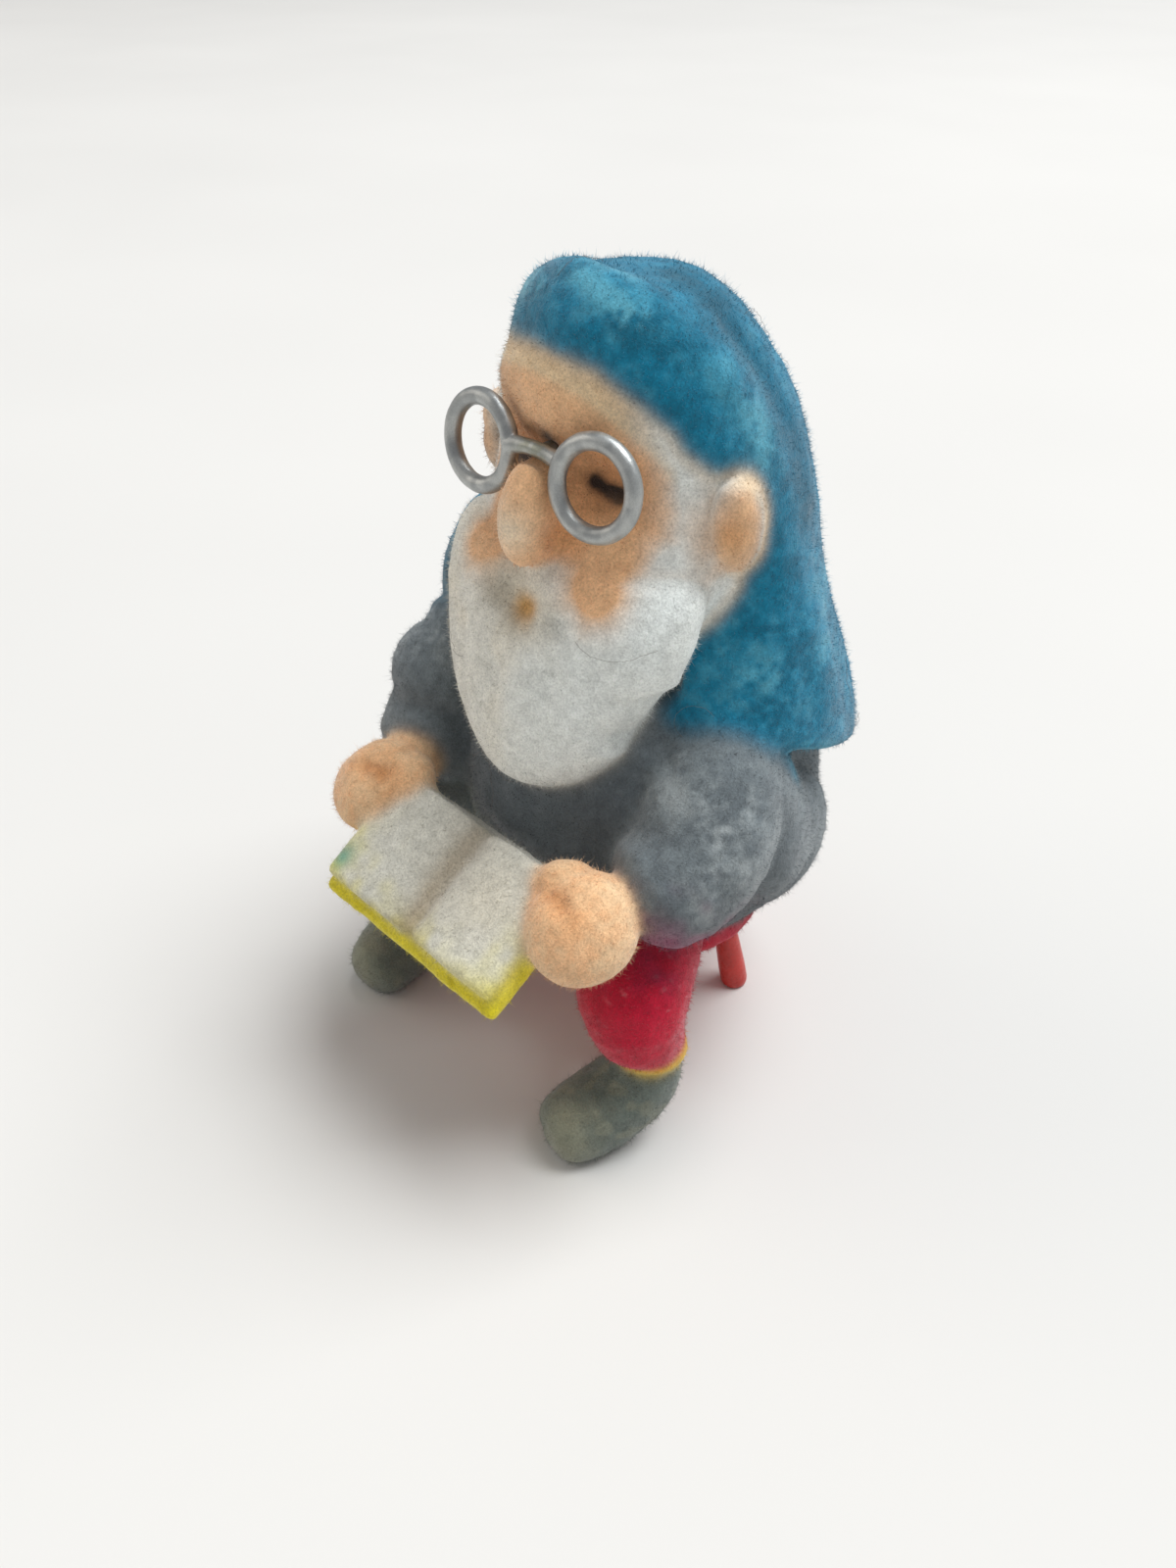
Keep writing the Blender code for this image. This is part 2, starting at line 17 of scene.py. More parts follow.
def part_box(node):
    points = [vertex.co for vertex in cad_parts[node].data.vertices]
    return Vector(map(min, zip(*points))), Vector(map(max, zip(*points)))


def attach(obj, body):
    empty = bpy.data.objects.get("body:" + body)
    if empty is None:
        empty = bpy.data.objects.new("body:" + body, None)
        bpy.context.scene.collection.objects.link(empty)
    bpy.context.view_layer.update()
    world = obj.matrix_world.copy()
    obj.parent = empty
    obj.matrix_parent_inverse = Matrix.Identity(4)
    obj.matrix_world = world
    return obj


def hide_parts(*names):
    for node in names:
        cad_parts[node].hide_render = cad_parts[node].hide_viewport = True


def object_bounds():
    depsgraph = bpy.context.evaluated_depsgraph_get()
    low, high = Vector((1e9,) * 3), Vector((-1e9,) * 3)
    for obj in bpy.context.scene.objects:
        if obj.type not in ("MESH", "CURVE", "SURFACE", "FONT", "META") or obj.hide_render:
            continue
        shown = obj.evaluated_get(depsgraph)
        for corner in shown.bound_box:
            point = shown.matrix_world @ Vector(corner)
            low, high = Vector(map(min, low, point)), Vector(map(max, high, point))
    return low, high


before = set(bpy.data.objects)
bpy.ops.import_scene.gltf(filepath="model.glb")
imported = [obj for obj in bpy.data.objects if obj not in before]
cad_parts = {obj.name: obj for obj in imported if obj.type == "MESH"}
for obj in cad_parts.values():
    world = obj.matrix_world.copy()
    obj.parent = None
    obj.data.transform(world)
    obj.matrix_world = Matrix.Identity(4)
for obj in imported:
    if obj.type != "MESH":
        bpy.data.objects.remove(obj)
CAD_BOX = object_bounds()

MM = 0.001
SEED = 20
FINE_VOXEL = 0.27 * MM
VOXEL = FINE_VOXEL
DENSITY = (FINE_VOXEL / VOXEL) ** 2  # vertices on this grid for each one on the fine grid
FIBRES_PER_MM2 = 7.0
COAT_GROWTH = 0.22 * MM
SHELL_THICKNESS = 0.6 * MM
MOST_FIBRES = 48000  # on one piece

# The nodes under the coat, with the colour slot of each.
COATED = {
    "hood": "hood_blue",
    "head": "skin",
    "beard": "beard_white",
    "jacket_front": "jacket_grey",
    "jacket_back": "jacket_grey",
    "sleeve_left": "jacket_grey",
    "sleeve_right": "jacket_grey",
    "hand_left": "skin",
    "hand_right": "skin",
    "trousers_seat": "trouser_red",
    "trouser_leg_left": "trouser_red",
    "trouser_leg_right": "trouser_red",
    "cuff_left": "cuff_yellow",
    "cuff_right": "cuff_yellow",
    "boot_left": "boot_grey",
    "boot_right": "boot_grey",
    "pages_left": "paper_white",
    "pages_right": "paper_white",
    "book_cover": "cover_yellow",
}


def linear(code):
    """Linear RGB of a hex colour."""
    parts = np.array([int(code[i : i + 2], 16) / 255 for i in (0, 2, 4)])
    return np.where(parts <= 0.04045, parts / 12.92, ((parts + 0.055) / 1.055) ** 2.4)


SLOT_COLOUR = {
    "hood_blue": linear("087b9c"),
    "skin": linear("ecbc8e"),
    "beard_white": linear("ebe8dd"),
    "jacket_grey": linear("737b7e"),
    "trouser_red": linear("c01233"),
    "cuff_yellow": linear("e0ba2c"),
    "boot_grey": linear("666e66"),
    "paper_white": linear("cfccc0"),
    "cover_yellow": linear("e0cf1e"),
}
# Colours that are sprayed over those of the slots.
# Deep teal: darker tone and overspray, and painted shade in the hood's creases and under its brim.
DEEP_TEAL = linear("06536a")
# Light teal: dust on the hood, and painted highlight on its ridge and near side.
DUST_AND_HIGHLIGHT_TEAL = linear("62adc0")
CREAM_SKIN = linear("ead2ab")
# Brown painted shade in the eye hollows and between the fingers.
SHADED_SKIN = linear("b3713f")
# Orange: blush on the cheeks, and orange painted shade by the nose, along the brows, in the ears and between
# the fingers.
ORANGE_SKIN = linear("da975c")
# Pale painted highlight for the nose tip.
HIGHLIGHT_SKIN = linear("efdcc0")
EAR_SKIN = linear("dfb285")
# Near black: the lashes, and painted shade beside the spectacles' bridge.
LASH_AND_SHADE = linear("2b1e18")
OCHRE = linear("cf9740")
SHADE_GREY = linear("a59c8a")
# Cool white: the sideburns, and painted light on the beard's near side.
COOL_WHITE = linear("ebf0ed")
# Warm white: the beard's far side as painted light, and warmer patches round the mouth and on the left page.
WARM_WHITE = linear("dccfb6")
# Dark grey: darker tone, and painted shade on the jacket's front and under the beard.
DARK_GREY = linear("484f55")
PALE_GREY = linear("abb0b0")
PURPLE = linear("84385a")
FLECK = linear("e7c3c8")
TOE = linear("93917a")
BOOT_DARK = linear("48524f")
GUTTER = linear("a8977f")
PALE_YELLOW = linear("dfd88f")
GREEN_SMUDGE = linear("5f9a86")


def spot(node, fx, fy, fz):
    """A point at these shares of a CAD node's box."""
    low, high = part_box(node)
    return np.array([low[i] + part * (high[i] - low[i]) for i, part in enumerate((fx, fy, fz))])


def mirrored(path):
    """The same line on the other side of the figure."""
    return [np.array([-x, y, z]) for x, y, z in path]


SIDES = (list, mirrored)


# ---- meshes as arrays ----


def triangles_of(obj):
    """(points, triangles) of a CAD node, with shared corners welded."""
    mesh = obj.data
    mesh.calc_loop_triangles()
    points = np.empty(len(mesh.vertices) * 3)
    mesh.vertices.foreach_get("co", points)
    faces = np.empty(len(mesh.loop_triangles) * 3, np.int32)
    mesh.loop_triangles.foreach_get("vertices", faces)
    keys = np.round(points.reshape(-1, 3) / (0.001 * MM)).astype(np.int64)
    _, first, index = np.unique(keys, axis=0, return_index=True, return_inverse=True)
    return points.reshape(-1, 3)[first], index.reshape(-1)[faces].reshape(-1, 3)


def rows_sum(index, rows, count):
    """Adds rows up by index."""
    columns = [np.bincount(index, weights=rows[:, i], minlength=count) for i in range(rows.shape[1])]
    return np.stack(columns, axis=1)


def unit(rows):
    """Each row at length 1."""
    return rows / np.maximum(np.linalg.norm(rows, axis=1, keepdims=True), 1e-12)


def vertex_normals(points, faces):
    """Area-weighted vertex normals of triangles or quads."""
    across = points[faces[:, 2]] - points[faces[:, 0]]
    other = points[faces[:, -1]] - points[faces[:, 1]]
    face_normals = np.cross(across, other)
    if faces.shape[1] == 3:
        face_normals = np.cross(points[faces[:, 1]] - points[faces[:, 0]], across)
    total = np.zeros_like(points)
    for corner in range(faces.shape[1]):
        total += rows_sum(faces[:, corner], face_normals, len(points))
    return unit(total)


def edges_of(faces):
    """Each edge once, as its two vertices."""
    pairs = np.concatenate([faces[:, [i, (i + 1) % faces.shape[1]]] for i in range(faces.shape[1])])
    return np.unique(np.sort(pairs, axis=1), axis=0)


def relaxed(values, edges, times, share=0.5):
    """Moves each vertex's values towards its neighbours' mean, this many times."""
    count = len(values)
    degree = np.bincount(edges.ravel(), minlength=count).astype(float)[:, None]
    for _ in range(times):
        near = rows_sum(edges[:, 0], values[edges[:, 1]], count)
        near += rows_sum(edges[:, 1], values[edges[:, 0]], count)
        values = values + share * (near / np.maximum(degree, 1) - values)
    return values


def components(count, edges):
    """One number for each connected set of vertices."""
    label = np.arange(count)
    while True:
        low = label.copy()
        np.minimum.at(low, edges[:, 0], label[edges[:, 1]])
        np.minimum.at(low, edges[:, 1], label[edges[:, 0]])
        low = low[low]
        low = low[low]
        if (low == label).all():
            return label
        label = low


def new_object(name, points, faces):
    """A smooth-shaded mesh object of triangles or quads."""
    mesh = bpy.data.meshes.new(name)
    width = faces.shape[1]
    mesh.vertices.add(len(points))
    mesh.vertices.foreach_set("co", np.ascontiguousarray(points, np.float32).ravel())
    mesh.loops.add(len(faces) * width)
    mesh.loops.foreach_set("vertex_index", np.ascontiguousarray(faces, np.int32).ravel())
    mesh.polygons.add(len(faces))
    mesh.polygons.foreach_set("loop_start", np.arange(0, len(faces) * width, width, dtype=np.int32))
    mesh.update(calc_edges=True)
    mesh.shade_smooth()
    obj = bpy.data.objects.new(name, mesh)
    bpy.context.scene.collection.objects.link(obj)
    return obj


def paint(obj, name, colours):
    """Stores a colour per vertex."""
    attribute = obj.data.color_attributes.new(name, "FLOAT_COLOR", "POINT")
    rows = np.ones((len(colours), 4), np.float32)
    rows[:, :3] = colours
    attribute.data.foreach_set("color", rows.ravel())


def remeshed(points, faces, voxel):
    """The outer skin of some overlapping closed meshes, as quads."""
    obj = new_object("remesh_source", points, faces)
    remesh = obj.modifiers.new("remesh", "REMESH")
    remesh.mode = "VOXEL"
    remesh.voxel_size = voxel
    evaluated = obj.evaluated_get(bpy.context.evaluated_depsgraph_get())
    mesh = evaluated.to_mesh()
    out = np.empty(len(mesh.vertices) * 3)
    mesh.vertices.foreach_get("co", out)
    sides = np.empty(len(mesh.polygons), np.int32)
    mesh.polygons.foreach_get("loop_total", sides)
    corners = np.empty(len(mesh.loops), np.int32)
    mesh.loops.foreach_get("vertex_index", corners)
    starts = np.concatenate([[0], np.cumsum(sides)[:-1]])
    quads = corners[starts[sides == 4][:, None] + np.arange(4)]
    evaluated.to_mesh_clear()
    bpy.data.objects.remove(obj)
    out = out.reshape(-1, 3)
    label = components(len(out), edges_of(quads))
    kept_label = np.bincount(label).argmax()
    kept = np.flatnonzero(label == kept_label)
    renumber = np.full(len(out), -1)
    renumber[kept] = np.arange(len(kept))
    quads = renumber[quads[label[quads[:, 0]] == kept_label]]
    return out[kept], quads


# ---- soft fields over the coat ----


def path_distance(points, path):
    """(distance to a line through these points, share of the way along it) for each point."""
    path = np.asarray(path, float)
    if len(path) == 1:
        return np.linalg.norm(points - path[0], axis=1), np.full(len(points), 0.5)
    lengths = np.linalg.norm(np.diff(path, axis=0), axis=1)
    before = np.concatenate([[0], np.cumsum(lengths)])
    best = np.full(len(points), np.inf)
    along = np.zeros(len(points))
    for i, length in enumerate(lengths):
        direction = (path[i + 1] - path[i]) / length
        t = np.clip((points - path[i]) @ direction, 0, length)
        distance = np.linalg.norm(points - path[i] - t[:, None] * direction, axis=1)
        nearer = distance < best
        best[nearer] = distance[nearer]
        along[nearer] = (before[i] + t[nearer]) / before[-1]
    return best, along


def bump_field(points, path, radius, fade=0.25):
    """1 on the line, falling to 0 over a radius, and fading at the line's two ends."""
    distance, along = path_distance(points, path)
    field = np.exp(-((distance / radius) ** 2))
    if len(path) > 1 and fade:
        field *= np.clip(np.minimum(along, 1 - along) / fade, 0.15, 1)
    return field


NOISE_LAYERS = 4
LATTICE_SIDE = 64
LAYER_SHIFT = 17.3
LATTICE = np.random.default_rng(SEED).random((NOISE_LAYERS, LATTICE_SIDE, LATTICE_SIDE, LATTICE_SIDE))


def value_noise(points, size, layer=0):
    """Smooth noise from 0 to 1 whose lumps are about this size."""
    scaled = points / size + LAYER_SHIFT * (layer + 1)
    cell = np.floor(scaled).astype(int)
    part = scaled - cell
    part = part * part * (3 - 2 * part)
    table = LATTICE[layer]
    total = np.zeros(len(points))
    for dx in (0, 1):
        for dy in (0, 1):
            for dz in (0, 1):
                weight = np.ones(len(points))
                for axis, step in enumerate((dx, dy, dz)):
                    weight *= part[:, axis] if step else 1 - part[:, axis]
                index = (cell + (dx, dy, dz)) % LATTICE_SIDE
                total += weight * table[index[:, 0], index[:, 1], index[:, 2]]
    return total


def smoothstep(low, high, x):
    """0 up to low, 1 from high on, with an even curve between. Low may be the larger."""
    t = np.clip((x - low) / (high - low), 0, 1)
    return t * t * (3 - 2 * t)


# ---- the coat ----

# Rounded lumps of filler under the coat, with their radii in mm. They close the hollows between a
# sleeve and the back of the jacket, give the far upper arm its bulk, fill the lap under the book,
# and widen the far edge of the cape.
PADDING = [
    (spot("sleeve_right", 0.50, 0.45, 0.55), (6.2, 6.0, 5.6)),
    (spot("jacket_back", 0.95, -0.17, 0.53), (5.3, 6.0, 8.0)),
    (spot("jacket_back", 0.05, -0.17, 0.53), (5.3, 6.0, 8.0)),
    (spot("sleeve_right", 0.62, 0.22, 0.32), (4.6, 4.4, 4.4)),
    (spot("jacket_back", 0.95, 0.06, 0.37), (4.6, 6.5, 7.6)),
    (spot("jacket_back", 0.05, 0.06, 0.37), (4.6, 6.5, 7.6)),
    (spot("jacket_back", 1.02, -0.14, 0.45), (3.9, 4.8, 6.5)),
    (spot("jacket_back", -0.02, -0.14, 0.45), (3.9, 4.8, 6.5)),
    (spot("trouser_leg_right", 0.52, 0.42, 0.98), (4.4, 3.2, 3.6)),
    (spot("hood", 0.065, 0.24, 0.27), (2.9, 5.6, 9.0)),
]


def lump(middle, radii):
    """(points, triangles) of an oval ball."""
    mesh = bmesh.new()
    bmesh.ops.create_icosphere(mesh, subdivisions=3, radius=MM)
    points = np.array([v.co for v in mesh.verts]) * radii + middle
    faces = np.array([[v.index for v in face.verts] for face in mesh.faces])
    mesh.free()
    return points, faces


NAMES = list(COATED)
SOFTENING = 7


def grow_coat():
    """(points, quads, each node's share of each point) of one skin over all the coated nodes."""
    all_points, all_faces, owner, count = [], [], [], 0
    for number, name in enumerate(NAMES):
        points, faces = triangles_of(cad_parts[name])
        grown = points + COAT_GROWTH * vertex_normals(points, faces)
        all_points.append(grown)
        all_faces.append(faces + count)
        owner += [number] * len(faces)
        count += len(points)
    points, faces = np.concatenate(all_points), np.concatenate(all_faces)
    for middle, radii in PADDING:
        lump_points, lump_faces = lump(middle, radii)
        all_points.append(lump_points)
        all_faces.append(lump_faces + count)
        count += len(lump_points)
    skin, quads = remeshed(np.concatenate(all_points), np.concatenate(all_faces), VOXEL)
    tree = BVHTree.FromPolygons([Vector(p) for p in points], faces.tolist())
    nearest = np.array([owner[tree.find_nearest(Vector(p))[2]] for p in skin])
    return skin, quads, np.eye(len(NAMES))[nearest]


skin, quads, share = grow_coat()
edges = edges_of(quads)
skin = relaxed(skin, edges, SOFTENING)

SLEEVES = ("sleeve_left", "sleeve_right")
HANDS = ("hand_left", "hand_right")
LEGS = ("trouser_leg_left", "trouser_leg_right")
BOOTS = ("boot_left", "boot_right")
CUFFS = ("cuff_left", "cuff_right")
PAGES = ("pages_left", "pages_right")
JACKET = ("jacket_front", "jacket_back")

# The coat bridges the joint between these pieces, so it is smoothed there this many times.
JOINTS = [
    (SLEEVES, ("jacket_back",), 400),
    (SLEEVES, ("jacket_front",), 60),
    (("hood",), JACKET + SLEEVES, 110),
    (("hood",), ("head",), 18),
    (("hood",), ("beard",), 20),
    (("head",), ("beard",), 60),
    (("beard",), JACKET, 14),
    (HANDS, SLEEVES, 50),
    (HANDS, PAGES + ("book_cover",), 30),
    (PAGES, ("book_cover",), 12),
    (("pages_left",), ("pages_right",), 10),
    (LEGS, JACKET + SLEEVES, 50),
    (LEGS + BOOTS, CUFFS, 12),
    (HANDS, LEGS, 20),
]

# A joint that is smoothed more often than this is smoothed over a wider band.
WIDE_TIMES = 100
# Passes that blur each node's share of the coat.
NARROW_BLUR = 36
WIDE_BLUR = 260
BORDER_BLUR = 3
MASK_GAIN = 6
LEAST_MASK = 0.02


def any_of(nodes, field):
    """The share of these nodes together."""
    return sum(field[:, NAMES.index(node)] for node in nodes)


def passes(count):
    """How many passes on this grid reach as far as this many on the fine one."""
    return int(count * DENSITY)


def soften_joints(points):
    """Relaxes the coat where two groups of nodes meet."""
    narrow = relaxed(share, edges, passes(NARROW_BLUR) + 2)
    for first, second, times in JOINTS:
        pair = np.stack([any_of(first, narrow), any_of(second, narrow)], axis=1)
        if times > WIDE_TIMES:
            pair = relaxed(pair, edges, passes(WIDE_BLUR) + 2)
        mask = np.clip(MASK_GAIN * pair[:, 0] * pair[:, 1], 0, 1)[:, None]
        local = mask[:, 0] > LEAST_MASK
        some = edges[local[edges[:, 0]] | local[edges[:, 1]]]
        used, index = np.unique(some, return_inverse=True)
        part, part_edges = points[used], index.reshape(-1, 2)
        part_mask = mask[used]
        for _ in range(passes(times) + 1):
            part = part + part_mask * (relaxed(part, part_edges, 1) - part)
        points[used] = part
    return points


skin = soften_joints(skin)
share = relaxed(share, edges, BORDER_BLUR)

HOOD_RIDGE = [
    spot("hood", 0.35, 0.08, 0.97),
    spot("hood", 0.54, 0.12, 0.99),
    spot("hood", 0.65, 0.14, 0.96),
    spot("hood", 0.73, 0.20, 0.90),
    spot("hood", 0.79, 0.27, 0.84),
    spot("hood", 0.83, 0.31, 0.75),
]
HOOD_CREASE = [
    spot("hood", 0.60, 0.29, 0.99),
    spot("hood", 0.72, 0.34, 0.93),
    spot("hood", 0.81, 0.40, 0.84),
    spot("hood", 0.87, 0.44, 0.74),
    spot("hood", 0.88, 0.46, 0.62),
]
EYE = spot("head", 0.66, 0.24, 0.66)
LASH_LINE = [
    spot("head", 0.60, 0.22, 0.675),
    spot("head", 0.66, 0.24, 0.65),
    spot("head", 0.72, 0.27, 0.64),
]
BROW_LINE = [
    spot("head", 0.55, 0.20, 0.74),
    spot("head", 0.63, 0.22, 0.75),
    spot("head", 0.72, 0.27, 0.72),
]
MOUTH = spot("beard", 0.51, 0.23, 0.81)
MOUTH_SHADE = [spot("beard", 0.39, 0.25, 0.84), spot("beard", 0.46, 0.23, 0.81)]
NOSE_TIP = spot("head", 0.51, 0.01, 0.57)
NOSE_SIDE = spot("head", 0.60, 0.12, 0.55)
EAR_HOLLOW = spot("head", 0.985, 0.38, 0.62)
CHEEK_POINT = [
    spot("head", 0.70, 0.25, 0.50),
    spot("beard", 0.72, 0.42, 0.98),
    spot("beard", 0.75, 0.40, 0.955),
]
SIDEBURN = [
    spot("head", 0.81, 0.33, 0.84),
    spot("head", 0.86, 0.39, 0.74),
    spot("head", 0.87, 0.40, 0.62),
    spot("head", 0.86, 0.38, 0.52),
    spot("beard", 0.90, 0.47, 0.97),
    spot("beard", 0.88, 0.45, 0.85),
]
BELOW_EAR = [spot("head", 0.90, 0.44, 0.40), spot("head", 0.86, 0.44, 0.28)]
LAP = [spot("trouser_leg_right", 0.35, 0.45, 1.0), spot("trouser_leg_right", 0.85, 0.35, 1.0)]
BEARD_SIDE = [
    spot("beard", 1.0, 0.50, 0.62),
    spot("beard", 0.97, 0.45, 0.42),
    spot("beard", 0.88, 0.35, 0.22),
]
HAND_HOLLOW = [
    spot("hand_left", 0.20, 0.30, 0.84),
    spot("hand_left", 0.42, 0.28, 0.95),
    spot("hand_left", 0.64, 0.22, 0.88),
]
HEM_CORNER = spot("hood", 0.98, 0.95, 0.02)

# Each fold is a line, how far its effect reaches and how far it lifts the coat, both in mm.
PAIRED_FOLDS = [
    (HOOD_RIDGE, 2.0, 0.75),
    (HOOD_CREASE, 1.5, -0.5),
    ([HEM_CORNER], 4.5, -1.6),
    ([EYE], 2.8, -0.7),
    (BROW_LINE, 1.1, 0.3),
    (SIDEBURN, 1.9, 0.35),
    ([NOSE_SIDE], 1.5, -0.45),
    ([EAR_HOLLOW], 1.5, -0.45),
    (HAND_HOLLOW, 0.9, -0.4),
]
SINGLE_FOLDS = [
    (BEARD_SIDE, 3.4, -1.7),
    ([spot("hood", 0.95, 0.45, 0.5), spot("hood", 0.97, 0.5, 0.15)], 2.2, 0.5),
    ([spot("hood", 0.9, 0.72, 0.5), spot("hood", 0.93, 0.75, 0.12)], 1.8, -0.5),
    ([MOUTH], 1.5, -1.0),
    (MOUTH_SHADE, 2.0, -0.4),
    ([spot("beard", 0.66, 0.25, 0.86), spot("beard", 0.68, 0.26, 0.72)], 1.4, -0.35),
    ([spot("beard", 0.42, 0.12, 0.66), spot("beard", 0.46, 0.1, 0.25)], 1.3, -0.6),
    ([spot("beard", 0.56, 0.14, 0.7), spot("beard", 0.55, 0.08, 0.3)], 1.4, 0.5),
    ([spot("beard", 0.68, 0.2, 0.7), spot("beard", 0.64, 0.12, 0.3)], 1.4, -0.65),
    ([spot("beard", 0.84, 0.4, 0.75), spot("beard", 0.78, 0.3, 0.4)], 1.5, -0.5),
    ([spot("beard", 0.22, 0.3, 0.7), spot("beard", 0.3, 0.2, 0.3)], 1.6, -0.35),
    ([spot("sleeve_left", 0.3, 0.1, 0.95), spot("sleeve_left", 0.65, 0.2, 0.85)], 1.6, -0.5),
    ([spot("sleeve_left", 0.9, 0.6, 0.75), spot("sleeve_left", 0.98, 0.3, 0.45)], 1.8, 0.4),
    ([spot("jacket_front", 0.3, 0.02, 0.5), spot("jacket_front", 0.7, 0.02, 0.42)], 1.8, 0.4),
    ([spot("hand_left", 0.85, 0.2, 0.62)], 2.6, -0.5),
]
FOLDS = [(side(path), reach, height) for path, reach, height in PAIRED_FOLDS for side in SIDES]
FOLDS += SINGLE_FOLDS
LUMPINESS = ((0.16, 2.6), (0.10, 1.1))  # height and size in mm of the coat's two kinds of unevenness


def fold_coat(points, normals):
    """Lifts and lowers the coat along the folds, and makes it a little uneven."""
    lift = np.zeros(len(points))
    for path, reach, height in FOLDS:
        lift += height * MM * bump_field(points, path, reach * MM)
    for layer, (height, size) in enumerate(LUMPINESS):
        lift += height * MM * (value_noise(points, size * MM, layer) - 0.5)
    return points + lift[:, None] * normals


skin = fold_coat(skin, vertex_normals(skin, quads))
skin[:, 2] = np.maximum(skin[:, 2], 0)
normals = vertex_normals(skin, quads)

# ---- sprayed colours ----

COLOUR_BLUR = 24
NEAR_BLUR = 70


class Fields:
    """Values at each vertex of the coat: where its parts are, how near some of them are, and noise."""

    def __init__(self):
        self.soft = relaxed(share, edges, passes(COLOUR_BLUR))
        groups = (("hood",), ("head",), ("beard",), ("jacket_front",), JACKET + SLEEVES, LEGS)
        near = np.stack([any_of(group, self.soft) for group in groups], axis=1)
        near = relaxed(near, edges, passes(NEAR_BLUR)).T
        self.near_hood, self.near_head, self.near_beard = near[:3]
        self.near_front, self.near_grey, self.near_legs = near[3:]
        self.hood, self.head, self.beard = (any_of([node], self.soft) for node in ("hood", "head", "beard"))
        self.grey = np.clip(any_of(JACKET, self.soft) + any_of(SLEEVES, self.soft), 0, 1)
        self.legs = any_of(LEGS + ("trousers_seat",), self.soft)
        self.boots = any_of(BOOTS, self.soft)
        self.hands = any_of(HANDS, self.soft)
        self.pages = any_of(PAGES, self.soft)
        self.book = any_of(PAGES + ("book_cover",), self.soft)
        self.patch = value_noise(skin, 3.2 * MM, 3)
        self.mottle = value_noise(skin, 1.1 * MM, 0)
        self.speck = value_noise(skin, 0.5 * MM, 1)
        self.cloud = 0.4 * self.patch + 0.25 * self.mottle + 0.35 * self.speck
        self.wobble = value_noise(skin, 1.3 * MM, 2) - 0.5


on = Fields()
colours = on.soft @ np.array([SLOT_COLOUR[COATED[name]] for name in NAMES])


def cover(colour, field):
    """Blends a colour in by this field, which is clipped to run from 0 to 1."""
    colours[:] += np.clip(field, 0, 1)[:, None] * (np.asarray(colour) - colours)


def spray(colour, path, radius, strength=1.0, only=None, fade=0.0, edge=0.35):
    """Blends a colour in round a line. The radius in mm wobbles by the share that edge gives."""
    reach = radius * MM * (1 + edge * on.wobble)
    field = np.clip(bump_field(skin, path, reach, fade) * strength, 0, 1)
    cover(colour, field if only is None else field * np.clip(only, 0, 1))


def spray_hood():
    """Dust and painted highlight along the ridge and in patches, painted shade in deep teal in the creases
    and under the brim.
    """
    cover(DEEP_TEAL, 0.5 * on.hood * smoothstep(0.62, 0.25, on.cloud))
    cover(DUST_AND_HIGHLIGHT_TEAL, 0.3 * on.hood * smoothstep(0.5, 0.8, on.cloud))
    dust_and_highlight = on.hood * smoothstep(0.25, 0.6, on.cloud)
    for side in SIDES:
        # painted highlight along the rolled ridge, broken up where the dust lies
        spray(DUST_AND_HIGHLIGHT_TEAL, side(HOOD_RIDGE), 1.5, 0.95, dust_and_highlight, edge=0.8)
        # painted shade in the crease above the ridge
        spray(DEEP_TEAL, side(HOOD_CREASE), 2.0, 0.8, on.hood)
    dust_and_highlight = on.hood * smoothstep(0.35, 0.7, on.cloud)
    # lighter patches on the near side of the hood and cape: dust and painted highlight
    for place in ((0.92, 0.31, 0.32), (0.94, 0.54, 0.31), (0.95, 0.42, 0.12), (0.97, 0.6, 0.45)):
        spray(DUST_AND_HIGHLIGHT_TEAL, [spot("hood", *place)], 3.4, 0.55, dust_and_highlight, edge=1.2)
    # painted shade under the brim, where the hood meets the face
    cover(DEEP_TEAL, 0.55 * smoothstep(0.1, 0.5, on.near_head) * on.hood * on.hood)


